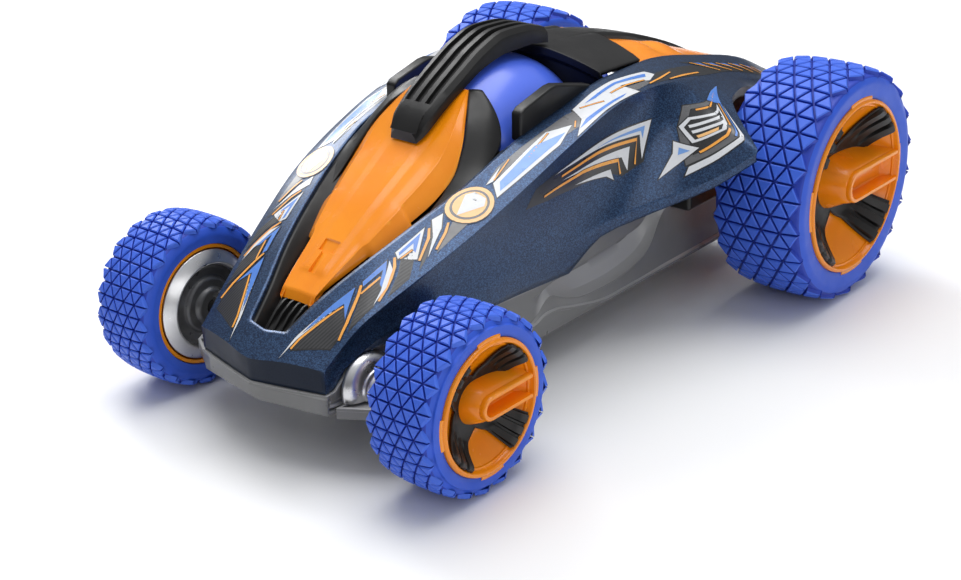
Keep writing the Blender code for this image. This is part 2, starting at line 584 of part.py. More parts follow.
def gear(name, teeth, tip, thickness, start, axis, bore, finish):
    """A spur gear between start and start + thickness along x, with its teeth inside radius tip."""
    outline = []
    root_r = tip - 1.1
    for i in range(teeth):
        for share, radius in ((-0.32, root_r), (-0.14, tip), (0.14, tip), (0.32, root_r)):
            a = 2 * math.pi * (i + share) / teeth
            outline.append((axis[1] + radius * math.cos(a), axis[2] + radius * math.sin(a)))
    end = start + thickness
    made = place(name, prism(outline, start, end, axis="X"), finish, axis)
    if bore:
        combine(made, "DIFFERENCE", place(f"{name}_bore", rod(start - 5, end + 5, bore, axis)))
    return made


def mesh_point(axis, distance, droop):
    """The axis of a gear that sits forward of axis, that far away and droop degrees lower."""
    a = math.radians(droop)
    return (0, axis[1] - distance * math.cos(a), axis[2] - distance * math.sin(a))


def drive():
    """Motor, two-stage gear train and the live rear axle in its gearbox."""
    axle = (0, WHEELBASE, REAR_R)
    big, small, reduction, pinion = 13.0, 4.8, 10.5, 3.4
    layshaft = mesh_point(axle, big + small + GEAR_GAP, 25)
    motor = mesh_point(layshaft, reduction + pinion + GEAR_GAP, 10)

    shaft = [(-82, 0), (-82, 3), (82, 3), (82, 0)]
    place("rear_axle", turned(shaft, axle, closed=False), STEEL, axle)
    gear("axle_gear", 26, big, 5, -12, axle, 3.06, NYLON)
    cluster = gear("layshaft_gear", 21, reduction, 4, -5.4, layshaft, 0, NYLON)
    cluster_small = gear("layshaft_small_gear", 9, small, 6.6, -12, layshaft, 0, None)
    spindle = place("layshaft_spindle", rod(-17.2, 3.4, 1.5, layshaft))
    combine(cluster, "UNION", cluster_small, spindle)
    driver = gear("motor_pinion", 7, pinion, 4, -5.4, motor, 0, BRASS)
    combine(driver, "UNION", place("motor_shaft", rod(-3, 9, 1.0, motor, segments=12)))
    can = [(4.4, 0), (4.4, 3), (5.6, 3), (5.6, 11.5), (31, 11.5), (31, 0)]
    case = place("drive_motor", turned([(x, r) for x, r in can], motor, closed=False), STEEL)
    combine(case, "DIFFERENCE", place("drive_motor_bore", rod(3, 12, 1.4, motor)))

    side = [(158, 17), (217, 17), (217, 56), (210, 62), (190, 62), (158, 48)]
    box = place("gearbox_housing", prism(side, 0.6, 3.6, axis="X"), BLACK)
    right = place("gearbox_right_plate", prism(side, -17.4, -14.4, axis="X"))
    base = place("gearbox_base", block((-15, 158, 17), (1, 217, 19.5)))
    back = place("gearbox_back", block((-15, 214.4, 17), (1, 217, 56)))
    bores = [place("box_axle_bore", rod(-30, 10, 3.4, axle)),
             place("box_motor_bore", rod(-1, 10, 3.6, motor)),
             place("box_layshaft_bore", rod(-30, 10, 1.56, layshaft))]
    combine(box, "UNION", right, base, back)
    combine(box, "DIFFERENCE", *bores)
    for name, sign in (("left", 1), ("right", -1)):
        bush = [(34, 3.06), (34, 6.0), (39.6, 6.0), (39.6, 8), (41.4, 8), (41.4, 3.06)]
        place(f"rear_bush_{name}", turned([(sign * x, r) for x, r in bush], axle), NYLON)
        front = wheel_pieces(f"rear_{name}", REAR_WHEEL, sign, WHEELBASE, REAR_R)
        nut = [(front - 0.1, 3.06), (front - 0.1, 5.6), (front + 2.2, 5.6), (front + 2.2, 3.06)]
        place(f"rear_wheel_nut_{name}", turned([(sign * x, r) for x, r in nut], axle), STEEL, axle)


def electrics():
    """Battery, its door and screw, the circuit board and the power switch."""
    place("battery_pack", soft_block((-22, 63, 17), (22, 117, 37), 3), CELL)
    door = place("battery_door", block((-24.6, 60.4, 12.1), (24.6, 123.6, 13.9)), GREY)
    combine(door, "DIFFERENCE", place("door_screw_hole", rod(5, 20, 1.8, (0, 120.3, 0), "Z")))
    screw = [(10.8, 0), (10.8, 2.8), (11.7, 2.8), (11.7, 1.4), (24, 1.4), (24, 0)]
    place("battery_door_screw", turned(screw, (0, 120.3, 0), "Z", 16, False), STEEL)
    place("circuit_board", block((-18, 40, 44.4), (18, 62, 46)), BOARD)
    place("power_switch", block((-6, 138, 16.4), (6, 152, 23)), BLACK)
    place("power_switch_knob", block((-3, 140.6, 10.9), (3, 145.6, 16)), ORANGE, (0, 143.1, 13))


chassis()
body_shell()
cockpit()
canopy()
spine()
rear_deck()
dome()
front_corner("left", 1)
front_corner("right", -1)
steering()
gyroscope()
drive()
electrics()
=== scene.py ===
"""The looks of a radio-controlled stunt car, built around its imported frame.

Shape numbers are millimetres in the car's own datum: x to the left-hand side, y
rearwards from the front axle, z up from the ground.  piece() turns them into the
frame's metres.  The left half of each mirrored piece is what is described.
"""

import math

import bmesh
import bpy
from mathutils import Matrix, Vector
from mathutils.bvhtree import BVHTree


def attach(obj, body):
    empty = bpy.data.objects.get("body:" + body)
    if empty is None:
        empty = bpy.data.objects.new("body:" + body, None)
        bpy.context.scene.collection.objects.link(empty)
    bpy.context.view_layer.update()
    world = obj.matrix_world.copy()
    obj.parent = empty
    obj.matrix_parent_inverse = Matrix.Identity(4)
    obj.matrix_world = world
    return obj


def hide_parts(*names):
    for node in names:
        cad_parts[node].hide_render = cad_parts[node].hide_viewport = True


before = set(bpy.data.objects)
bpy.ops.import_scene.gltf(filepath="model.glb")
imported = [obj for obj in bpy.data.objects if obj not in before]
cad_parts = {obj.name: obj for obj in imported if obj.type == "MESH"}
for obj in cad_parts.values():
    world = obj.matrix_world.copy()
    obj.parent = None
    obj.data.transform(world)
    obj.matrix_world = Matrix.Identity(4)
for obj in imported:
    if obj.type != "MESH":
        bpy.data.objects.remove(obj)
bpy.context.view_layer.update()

# ---- driving dimensions (mm) ------------------------------------------------
MIDDLE_Y = 107.45               # the frame's origin, rearwards from the front axle
TO_ROW = Matrix.Scale(0.001, 4) @ Matrix.Translation((0, -MIDDLE_Y, 0))
REAR_Y = 200.0
FRONT_R, REAR_R = 30.6, 45.5
DOME_CENTRE, DOME_RADII = Vector((0, 93, 67)), Vector((32.5, 42, 40.5))
GAP = 0.35
FLAKE = 0.34                    # one flake of the metallic paint
SIDES = (("left", 1), ("right", -1))

FRONT_WHEEL = dict(radius=FRONT_R, tread=(52.7, 75.7), drop=1.2, bulge=1.3, ring_x=(52.9, 77.9),
                   ring_r=(21.7, 22.5), disc_x=66.3, hub_r=5.2, handle_top=4.2, handle_base=7.2,
                   rows=42, block=1.2, groove=0.3)
REAR_WHEEL = dict(radius=REAR_R, tread=(55.8, 91.4), drop=2.1, bulge=0.8, ring_x=(56.2, 92.5),
                  ring_r=(32.4, 33.4), disc_x=77.0, hub_r=6.5, handle_top=6.2, handle_base=10.6,
                  rows=44, block=1.7, groove=0.42)

# body lines down the left side: (y, x, z)
INNER_EDGE = [(-19.1, 8.3, 44.3), (-9, 11.2, 51), (6, 17.2, 60.2), (22, 22.6, 68.2),
              (49, 29.4, 80.2), (64, 31, 86.5), (95, 31, 93), (120, 31, 97.6), (143, 31, 98),
              (187, 31, 90.2), (210, 31, 83.8), (233, 31, 72.9)]
CREASE = [(-19.1, 29.2, 40.6), (-9.7, 30.9, 47.7), (15.7, 38.6, 60.6), (43, 45.1, 73.2),
          (66, 47, 82.1), (82, 47.4, 87.6), (112, 47, 94.6), (126, 47.2, 95.2), (146, 47, 92.9),
          (176, 46.5, 86.4), (205, 44, 78), (233, 41, 66)]
FLARE_EDGE = [(-19.1, 29, 34), (2, 34, 44), (20, 38, 47), (47, 43, 48), (85, 44, 48.5),
              (100, 46, 50.5), (119, 54, 55), (137, 70, 63.5), (148, 80, 72), (157, 64, 81),
              (163, 58, 84), (176, 53.5, 83.6), (190, 50, 80), (205, 47, 74), (233, 43, 62)]
SKIRT = [(-19.1, 28.8, 30.2), (-10, 30, 38.4), (2, 33, 39.2), (20, 37.2, 39.6), (47, 42.4, 39.3),
         (85, 42.6, 37.1), (92, 43.4, 41.5), (100, 45, 46.5), (119, 53, 51), (137, 69, 59.5),
         (148, 79, 68), (157, 63, 77), (163, 57, 80), (176, 52.7, 79.6), (190, 49.2, 76),
         (205, 46.2, 70), (233, 42.4, 58)]
BODY_FRONT, BODY_BACK = -19.1, 233
FLARE_TIP, FLARE_NOTCH = 148, 163
NOSE_PEAK, NOSE_CHIN, NOSE_BROW = (0, -28.9, 36.4), (0, -28.6, 28.3), (0, -20.4, 43.4)
NOSE_CORNER, NOSE_JAW = (28.6, -23.1, 37.5), (28.5, -22.9, 29.5)
SIDE_HOLLOW = 0.075             # how far the side panel is hollowed, as a share of its height

# chassis tub: (y, x, z) of its upper edge and of its floor edge
TUB_BACK = 222
TUB_TOP = [(-22.6, 28.2, 28.8), (-19, 28.4, 29.6), (-9, 28.4, 37.4), (2, 30.2, 38.4),
           (20, 35.4, 38.9), (47, 38.8, 38.6), (85, 38.8, 36.6), (96, 38.8, 46), (112, 38.8, 62),
           (135, 38.8, 74), (165, 38.8, 76), (195, 38.4, 70), (222, 37, 52)]
TUB_FLOOR = [(-22.6, 28.2, 22.6), (0, 29.5, 20), (30, 34, 16.5), (62, 36, 12), (216, 36, 12),
             (222, 34, 15)]

# canopy hood: (y, half width and z of its lower edge, half width and z of its ridge)
CANOPY = [(-4.5, 6.9, 50.0, 6.3, 51.4), (0, 8.5, 52.8, 6.4, 54.4), (12, 12.2, 58.6, 7, 62.4),
          (26, 17.6, 66.6, 8, 72), (40, 21.6, 74.4, 9, 80.8), (48, 22.4, 80, 9.5, 86),
          (55, 20.6, 88, 10, 91.6), (61.5, 16.9, 94.8, 9.5, 96.6), (66, 14.0, 98.8, 9.2, 100.0),
          (70.5, 10.9, 101.6, 9, 102.4)]
# roof spine: (y, half width, z of the underside, z of the top)
SPINE = [(48.6, 7.4, 88, 94.5), (55, 8.4, 93.4, 98.8), (62, 9, 98.2, 103.4), (72, 9.4, 103.5, 109),
         (82, 9.5, 107.6, 114), (94, 9.5, 109.6, 117.2), (106, 9.5, 109.5, 116.6),
         (117, 9.2, 107.9, 113.6)]
# ridge of the rear deck: (y, z of its top, half width)
REAR_DECK = [(118, 107.2, 9.2), (130, 106.6, 8.8), (146, 104.6, 8), (165, 100.2, 6.6), (185, 94, 4.8),
             (205, 86.4, 3), (220, 79.6, 1.4)]


# ---- materials --------------------------------------------------------------------
class Finish:
    """A node material that starts as a Principled shader and gains layers of procedural detail."""

    def __init__(self, name, colour, roughness, metallic=0.0, coat=0.0, coat_roughness=0.05, ior=1.5):
        self.made = bpy.data.materials.new(name)
        self.made.use_nodes = True
        self.shader = self.made.node_tree.nodes["Principled BSDF"]
        self.place = self.add("ShaderNodeTexCoord").outputs["Object"]
        self.roughness = roughness
        self.bump = None
        self.colour = (*colour, 1.0)    # or, once something is blended in, the node output with the colour
        self.fill(self.shader, {"Base Color": self.colour, "Roughness": roughness, "Metallic": metallic,
                                "Coat Weight": coat, "Coat Roughness": coat_roughness, "IOR": ior})

    def fill(self, node, inputs):
        """Gives a node's inputs their values, or wires them where the value is another node's output."""
        for key, value in inputs.items():
            if isinstance(value, bpy.types.NodeSocket):
                self.made.node_tree.links.new(value, node.inputs[key])
            else:
                node.inputs[key].default_value = value

    def add(self, kind, inputs={}, **values):
        node = self.made.node_tree.nodes.new(kind)
        for key, value in values.items():
            setattr(node, key, value)
        self.fill(node, inputs)
        return node

    def mapped(self, **values):
        return self.add("ShaderNodeMapping", {"Vector": self.place, **values}).outputs["Vector"]

    def noise(self, size, detail=2.0, stretch=(1, 1, 1)):
        """A noise field whose features are about size mm across."""
        place = self.place if stretch == (1, 1, 1) else self.mapped(Scale=stretch)
        inputs = {"Vector": place, "Scale": 1000 / size, "Detail": detail}
        return self.add("ShaderNodeTexNoise", inputs).outputs["Fac"]

    def ranged(self, source, low, high, from_low=0.3, from_high=0.7):
        inputs = {"Value": source, "From Min": from_low, "From Max": from_high, "To Min": low, "To Max": high}
        return self.add("ShaderNodeMapRange", inputs).outputs["Result"]

    def blended(self, mask, other):
        """Mixes the colour so far with another colour where mask is 1."""
        inputs = {0: mask, 6: self.colour, 7: (*other, 1.0)}
        self.colour = self.add("ShaderNodeMix", inputs, data_type="RGBA").outputs[2]
        self.fill(self.shader, {"Base Color": self.colour})
        return self

    def mottled(self, size, other, amount=1.0, detail=3.0):
        return self.blended(self.ranged(self.noise(size, detail), 0, amount), other)

    def edged(self, other, *limits):
        edge = self.add("ShaderNodeNewGeometry").outputs["Pointiness"]
        return self.blended(self.ranged(edge, *limits), other)

    def worn(self, other, start=0.53, end=0.62, amount=0.6):
        """Wear along the convex edges."""
        return self.edged(other, 0, amount, start, end)

    def shaded_in_hollows(self, other, amount=0.4):
        """Painted shade in the concave places: darker colour where the surface is hollow."""
        return self.edged(other, amount, 0, 0.38, 0.48)

    def patchy(self, size, spread, stretch=(1, 1, 1)):
        """Roughness that varies by spread either way."""
        low, high = max(0.02, self.roughness - spread), self.roughness + spread
        self.fill(self.shader, {"Roughness": self.ranged(self.noise(size, 3.0, stretch), low, high)})
        return self

    def bumped(self, height, depth):
        """Relief of depth mm, on top of the relief so far."""
        before = {"Normal": self.bump} if self.bump else {}
        inputs = {"Height": height, "Distance": depth * 0.001, "Strength": 1.0, **before}
        self.bump = self.add("ShaderNodeBump", inputs).outputs["Normal"]
        self.fill(self.shader, {"Normal": self.bump})
        return self

    def grained(self, size, depth, detail=2.0, stretch=(1, 1, 1)):
        return self.bumped(self.noise(size, detail, stretch), depth)

    def ribbed(self, pitch, depth, turn, dark):
        """Fine parallel lines, as on a carbon-look print."""
        inputs = {"Vector": self.mapped(Rotation=(0, 0, math.radians(turn))), "Scale": 1000 / pitch / math.pi}
        wave = self.add("ShaderNodeTexWave", inputs, wave_type="BANDS", bands_direction="X").outputs["Fac"]
        return self.blended(self.ranged(wave, 0, 1, 0.2, 0.8), dark).bumped(wave, depth)


def rubber():
    made = Finish("blue_rubber", (0.03, 0.1, 0.62), 0.46, ior=1.4)
    # The darker blue in the concave places is painted shade.
    made.mottled(9, (0.038, 0.12, 0.7), 0.7).shaded_in_hollows((0.015, 0.05, 0.4), 0.4)
    made.worn((0.09, 0.21, 0.85), 0.52, 0.66, 0.5)
    return made.patchy(6, 0.08).grained(0.5, 0.02)


def groove_shade_rubber():
    # A darker copy of the tyre rubber: painted shade for the grooves between the blocks.
    made = Finish("blue_rubber_groove_shade", (0.018, 0.05, 0.42), 0.55, ior=1.45)
    made.mottled(5, (0.024, 0.06, 0.48), 0.7)
    return made.patchy(4, 0.08).grained(0.4, 0.02)


def orange_plastic():
    made = Finish("orange_plastic", (0.88, 0.245, 0.003), 0.24, coat=0.3, coat_roughness=0.1, ior=1.4)
    made.mottled(14, (0.94, 0.3, 0.004), 0.8).worn((1.0, 0.4, 0.03), 0.52, 0.64, 0.5)
    return made.patchy(8, 0.05).grained(0.7, 0.006)


def black_plastic():
    made = Finish("black_plastic", (0.006, 0.0058, 0.0058), 0.36, ior=1.4)
    made.mottled(11, (0.012, 0.0115, 0.0115)).worn((0.07, 0.07, 0.072), 0.53, 0.64, 0.5)
    return made.patchy(5, 0.07).grained(0.45, 0.012)


def navy_paint():
    """Metallic paint with flakes that show as a fine sparkle."""
    made = Finish("navy_paint", (0.008, 0.023, 0.064), 0.34, metallic=0.62, coat=0.3, coat_roughness=0.16)
    flake = made.add("ShaderNodeTexVoronoi", {"Vector": made.place, "Scale": 1000 / FLAKE}, feature="F1")
    shade = made.add("ShaderNodeSeparateColor", {"Color": flake.outputs["Color"]}).outputs["Red"]
    made.blended(made.ranged(shade, 0, 0.75, 0.3, 1.0), (0.05, 0.12, 0.26))
    made.mottled(30, (0.012, 0.034, 0.09), 0.35)
    made.worn((0.14, 0.22, 0.38), 0.55, 0.68, 0.3)
    return made.patchy(12, 0.05).grained(0.45, 0.008, detail=0.0)


def two_tone_and_shade_paint():
    """The darker paint of the nose band, partly a second tone of paint and partly painted shade, and painted
    shade on the strip under the tail.
    """
    made = Finish("deep_navy_paint_and_shade", (0.004, 0.009, 0.022), 0.4, metallic=0.2, coat=0.08,
                  coat_roughness=0.18, ior=1.25)
    made.mottled(0.4, (0.006, 0.012, 0.028), 0.8, detail=0.0).worn((0.05, 0.09, 0.17), 0.54, 0.66, 0.5)
    return made.patchy(10, 0.05).grained(0.45, 0.008, detail=0.0)


def grey_plastic():
    """Grey with a painted highlight: lighter where it faces up, as if lit from above."""
    made = Finish("grey_plastic", (0.15, 0.15, 0.15), 0.32)
    made.mottled(16, (0.175, 0.175, 0.175), 0.8)
    # painted highlight on the faces that look up
    normal = made.add("ShaderNodeNewGeometry").outputs["Normal"]
    upward = made.add("ShaderNodeSeparateXYZ", {"Vector": normal}).outputs["Z"]
    made.blended(made.ranged(upward, 0, 1, 0.04, 0.4), (0.4, 0.4, 0.4))
    return made.patchy(10, 0.05).grained(0.6, 0.008)


def dome_plastic():
    made = Finish("blue_gloss", (0.07, 0.15, 0.86), 0.3, coat=0.6, coat_roughness=0.2)
    made.mottled(40, (0.1, 0.2, 0.92), 0.8)
    return made.patchy(20, 0.03).grained(3, 0.01)


def chrome():
    made = Finish("silver_plating", (0.7, 0.7, 0.71), 0.3, metallic=1.0)
    made.mottled(6, (0.6, 0.6, 0.62), 0.5)
    return made.patchy(4, 0.04).grained(0.8, 0.0006)


def dark_core():
    made = Finish("dark_core", (0.1, 0.1, 0.103), 0.34, metallic=0.5)
    made.mottled(5, (0.14, 0.14, 0.145)).worn((0.3, 0.3, 0.3), 0.52, 0.62, 0.5)
    return made.patchy(4, 0.08).grained(0.5, 0.01)


def turned_metal(name, colour, roughness):
    made = Finish(name, colour, roughness, metallic=1.0)
    made.mottled(4, tuple(c * 0.75 for c in colour), 0.7)
    made.worn(tuple(min(1, c * 1.4) for c in colour), 0.52, 0.62, 0.5)
    return made.patchy(3, 0.08, (8, 1, 1)).grained(0.3, 0.006, stretch=(8, 1, 1))


def nylon():
    made = Finish("white_nylon", (0.66, 0.65, 0.6), 0.45)
    # The darker tone in the concave places is painted shade.
    made.mottled(5, (0.74, 0.73, 0.69)).shaded_in_hollows((0.3, 0.29, 0.26), 0.5)
    return made.patchy(4, 0.06).grained(0.4, 0.01)


def board_mask():
    made = Finish("circuit_board", (0.012, 0.14, 0.045), 0.4, coat=0.3)
    made.mottled(2.2, (0.02, 0.2, 0.07)).mottled(1.1, (0.6, 0.45, 0.2), 0.25, detail=0.0)
    return made.patchy(3, 0.08).grained(0.8, 0.03)


def battery_wrap():
    made = Finish("battery_wrap", (0.04, 0.04, 0.047), 0.3, coat=0.3)
    made.mottled(12, (0.07, 0.07, 0.08)).worn((0.2, 0.2, 0.22), 0.52, 0.62, 0.5)
    return made.patchy(9, 0.08).grained(5, 0.08)


def print_ink(name, colour, other, roughness=0.3):
    """A screen-printed patch under the body's clear coat."""
    made = Finish(name, colour, roughness, coat=0.5, coat_roughness=0.12)
    made.mottled(3, other, 0.7)
    return made.patchy(5, 0.05).grained(0.5, 0.01)


def carbon_print():
    made = Finish("carbon_print", (0.004, 0.004, 0.005), 0.34, coat=0.3, coat_roughness=0.12)
    made.ribbed(1.05, 0.03, 22, (0.028, 0.028, 0.031))
    return made.patchy(4, 0.05)


GROOVE_SHADE, TWO_TONE_AND_SHADE_PAINT = groove_shade_rubber().made, two_tone_and_shade_paint().made
RUBBER, ORANGE, BLACK, PAINT = rubber().made, orange_plastic().made, black_plastic().made, navy_paint().made
GREY, DOME_BLUE, CHROME, CORE = grey_plastic().made, dome_plastic().made, chrome().made, dark_core().made
STEEL = turned_metal("steel", (0.5, 0.5, 0.52), 0.3).made
BRASS = turned_metal("brass", (0.72, 0.48, 0.17), 0.28).made
NYLON, BOARD, CELL, CARBON = nylon().made, board_mask().made, battery_wrap().made, carbon_print().made
WHITE_INK = print_ink("white_print", (0.7, 0.71, 0.73), (0.64, 0.66, 0.7)).made
BLUE_INK = print_ink("blue_print", (0.055, 0.19, 0.62), (0.09, 0.26, 0.7)).made
SKY_INK = print_ink("sky_print", (0.13, 0.3, 0.68), (0.17, 0.36, 0.74)).made
ORANGE_INK = print_ink("orange_print", (0.86, 0.34, 0.03), (0.9, 0.4, 0.06)).made
PEACH_INK = print_ink("peach_print", (0.88, 0.48, 0.17), (0.9, 0.54, 0.22)).made
GREY_INK = print_ink("grey_print", (0.1, 0.1, 0.105), (0.14, 0.14, 0.145)).made
BLACK_INK = print_ink("black_print", (0.008, 0.008, 0.009), (0.014, 0.014, 0.016)).made


# ---- modelling helpers --------------------------------------------------------------
def smooth_at(table, y):
    """The values of a table of (y, value, ...) rows at y, through all its rows and without overshoot."""
    ys = [row[0] for row in table]
    y = min(max(y, ys[0]), ys[-1])
    i = next(k for k in range(len(ys) - 1) if y <= ys[k + 1])
    span = ys[i + 1] - ys[i]
    t = (y - ys[i]) / span
    values = []
    for column in range(1, len(table[0])):
        run = [row[column] for row in table]
        steps = [(run[k + 1] - run[k]) / (ys[k + 1] - ys[k]) for k in range(len(ys) - 1)]

        def slope(k):
            if k == 0 or k == len(steps):
                return steps[min(k, len(steps) - 1)]
            before, after = steps[k - 1], steps[k]
            return 2 * before * after / (before + after) if before * after > 0 else 0.0

        a, b = run[i], run[i + 1]
        m, n = slope(i) * span, slope(i + 1) * span
        values.append(a + m * t + (3 * (b - a) - 2 * m - n) * t ** 2 + (2 * (a - b) + m + n) * t ** 3)
    return values


def cornered_at(table, y, corners):
    """As smooth_at, with a sharp turn at each y in corners."""
    start = 0
    for i, row in enumerate(table):
        if row[0] in corners or i == len(table) - 1:
            if y <= row[0] or i == len(table) - 1:
                return smooth_at(table[start:i + 1], y)
            start = i


def spread(low, high, step, extra=()):
    """Rising values from low to high about step apart, with the extra ones among them."""
    count = max(1, round((high - low) / step))
    made = {round(low + (high - low) * i / count, 3) for i in range(count + 1)}
    made = {v for v in made if all(abs(v - e) > step * 0.35 for e in extra) or v in (low, high)}
    return sorted(made | set(extra))


def mix(a, b, t):
    return tuple(p + (q - p) * t for p, q in zip(a, b))


def mix_rows(a, b, t):
    return [mix(p, q, t) for p, q in zip(a, b)]


def eased(t):
    t = min(max(t, 0), 1)
    return t * t * (3 - 2 * t)


def sheet(rows, ring=False, keep=lambda i, j: True, creased_columns={}, creased_rows={}):
    """A surface through rows of points, with crease values for chosen rows and columns."""
    bm = bmesh.new()
    crease = bm.edges.layers.float.new("crease_edge")
    verts = [[bm.verts.new(p) for p in row] for row in rows]
    across = len(rows[0]) if ring else len(rows[0]) - 1
    for i in range(len(rows) - 1):
        for j in range(across):
            k = (j + 1) % len(rows[0])
            if keep(i, j):
                bm.faces.new((verts[i][j], verts[i][k], verts[i + 1][k], verts[i + 1][j]))
    for j, value in creased_columns.items():
        for i in range(len(rows) - 1):
            edge = bm.edges.get((verts[i][j], verts[i + 1][j]))
            if edge:
                edge[crease] = value
    for i, value in creased_rows.items():
        for j in range(across):
            edge = bm.edges.get((verts[i][j], verts[i][(j + 1) % len(rows[0])]))
            if edge:
                edge[crease] = value
    bmesh.ops.delete(bm, geom=[v for v in bm.verts if not v.link_faces], context="VERTS")
    return bm


def capped(bm):
    """Closes the open ends of a ring-shaped sheet."""
    bmesh.ops.holes_fill(bm, edges=[e for e in bm.edges if e.is_boundary], sides=0)
    return bm


def piece(name, bm, finish, body="chassis", stands_for=(), sharp=35, weld=0.002, outward=True):
    """Makes a shown piece of bm, riding on a body and standing for the CAD nodes that it replaces."""
    bmesh.ops.remove_doubles(bm, verts=bm.verts, dist=weld)
    if outward:
        bmesh.ops.recalc_face_normals(bm, faces=bm.faces)
    bmesh.ops.transform(bm, matrix=TO_ROW, verts=bm.verts)
    mesh = bpy.data.meshes.new(name)
    bm.to_mesh(mesh)
    bm.free()
    mesh.shade_smooth()
    mesh.set_sharp_from_angle(angle=math.radians(sharp))
    mesh.materials.append(finish)
    made = bpy.data.objects.new(name, mesh)
    bpy.context.scene.collection.objects.link(made)
    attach(made, body)
    if stands_for:
        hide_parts(*([stands_for] if isinstance(stands_for, str) else stands_for))
    return made


def both_sides(made):
    mirror = made.modifiers.new("both_sides", "MIRROR")
    mirror.use_clip = True
    mirror.merge_threshold = 0.00001
    return made


def walled(made, wall, rim=0.9):
    """Gives a sheet a wall on its inner side."""
    shell = made.modifiers.new("wall", "SOLIDIFY")
    shell.thickness = wall * 0.001
    shell.offset = -1
    shell.edge_crease_inner = shell.edge_crease_outer = shell.edge_crease_rim = rim
    return made


def smoothed(made, levels=2):
    rounder = made.modifiers.new("smooth", "SUBSURF")
    rounder.levels = rounder.render_levels = levels
    return made


def turned_up(made):
    """Makes a sheet's faces look upwards."""
    if sum(p.normal.z * p.area for p in made.data.polygons) < 0:
        made.data.flip_normals()
    return made


def moulded(made, wall, rim=0.8, levels=2):
    """Finishes the left half of a sheet as a symmetric, smooth shell."""
    return smoothed(walled(both_sides(made), wall, rim), levels)


def softened(made, width, segments=2, angle=28):
    """Rounds a piece's sharp edges."""
    bevel = made.modifiers.new("soft_edges", "BEVEL")
    bevel.width = width * 0.001
    bevel.segments = segments
    bevel.limit_method = "ANGLE"
    bevel.angle_limit = math.radians(angle)
    bevel.harden_normals = True
    return made


def settle(made):
    """Replaces an object's mesh by what its modifiers make of it."""
    graph = bpy.context.evaluated_depsgraph_get()
    mesh = bpy.data.meshes.new_from_object(made.evaluated_get(graph), depsgraph=graph)
    made.modifiers.clear()
    made.data = mesh
    return made


def cut(made, *tools):
    """Cuts closed meshes, given in the datum's millimetres, out of a piece."""
    helpers = []
    for i, bm in enumerate(tools):
        bmesh.ops.recalc_face_normals(bm, faces=bm.faces)
        bmesh.ops.transform(bm, matrix=TO_ROW, verts=bm.verts)
        mesh = bpy.data.meshes.new("tool")
        bm.to_mesh(mesh)
        bm.free()
        helper = bpy.data.objects.new(f"tool_{i}", mesh)
        bpy.context.scene.collection.objects.link(helper)
        step = made.modifiers.new("cut", "BOOLEAN")
        step.operation = "DIFFERENCE"
        step.object = helper
        helpers.append(helper)
    settle(made)
    for helper in helpers:
        bpy.data.objects.remove(helper)
    made.data.shade_smooth()
    made.data.set_sharp_from_angle(angle=math.radians(35))
    return made


def around(x, r, a, y, z):
    """The point at radius r and angle a about a line along X through y, z."""
    return x, y + r * math.cos(a), z + r * math.sin(a)


def turned(profile, y, z, segments=96, closed=True):
    """Turns (along x, radius) points about a line along X through y, z."""
    angles = [2 * math.pi * i / segments for i in range(segments)] + [0.0]
    columns = [[around(x, r, a, y, z) for a in angles] for x, r in profile]
    if closed:
        columns.append(columns[0])
    return sheet(columns)


def rounded_path(points, radius, steps=3):
    """A polyline whose inner corners are replaced by arcs of about that radius."""
    made = [points[0]]
    for before, here, after in zip(points, points[1:], points[2:]):
        h, b, a = Vector(here), Vector(before), Vector(after)
        reach = min(radius, (b - h).length * 0.45, (a - h).length * 0.45)
        start, end = h + (b - h).normalized() * reach, h + (a - h).normalized() * reach
        for k in range(steps + 1):
            t = k / steps
            made.append(tuple(start.lerp(h, t).lerp(h.lerp(end, t), t)))
    made.append(points[-1])
    return made


def prism(outline, low, high, axis="Z"):
    """Extrudes an outline.  Its points are (x, y) for Z and (y, z) for X."""
    bm = bmesh.new()
    bottom, top = ([bm.verts.new((a, b, c) if axis == "Z" else (c, a, b)) for a, b in outline]
                   for c in (low, high))
    bm.faces.new(bottom)
    bm.faces.new(top[::-1])
    for i in range(len(outline)):
        j = (i + 1) % len(outline)
        bm.faces.new((bottom[i], bottom[j], top[j], top[i]))
    return bm


def stadium(half_width, y_from, y_to, z, steps=14):
    """An outline in (y, z): a round end about y_from, and a square end at y_to."""
    arc = [math.pi / 2 + math.pi * i / steps for i in range(steps + 1)]
    round_end = [(y_from + half_width * math.cos(a), z + half_width * math.sin(a)) for a in arc]
    return round_end + [(y_to, z - half_width), (y_to, z + half_width)]


def flipped(bm):
    """The same mesh on the car's other side."""
    bmesh.ops.scale(bm, verts=bm.verts, vec=(-1, 1, 1))
    bmesh.ops.reverse_faces(bm, faces=bm.faces)
    return bm


def on_side(bm, side):
    """The mesh as it is on the left (1), or mirrored on the right (-1)."""
    return flipped(bm) if side < 0 else bm


def joined(*parts):
    """One mesh of several."""
    whole = bmesh.new()
    for part in parts:
        mesh = bpy.data.meshes.new("part")
        part.to_mesh(mesh)
        part.free()
        whole.from_mesh(mesh)
        bpy.data.meshes.remove(mesh)
    return whole


# ---- wheels ------------------------------------------------------------------------
def tread_radius(spec, x):
    """The tyre's radius over its blocks at x: nearly flat across the crown, falling at the shoulders."""
    x0, x1 = spec["tread"]
    u = abs(x - (x0 + x1) / 2) / ((x1 - x0) / 2)
    return spec["radius"] - 0.05 - spec["drop"] * 0.75 * u ** 3.2


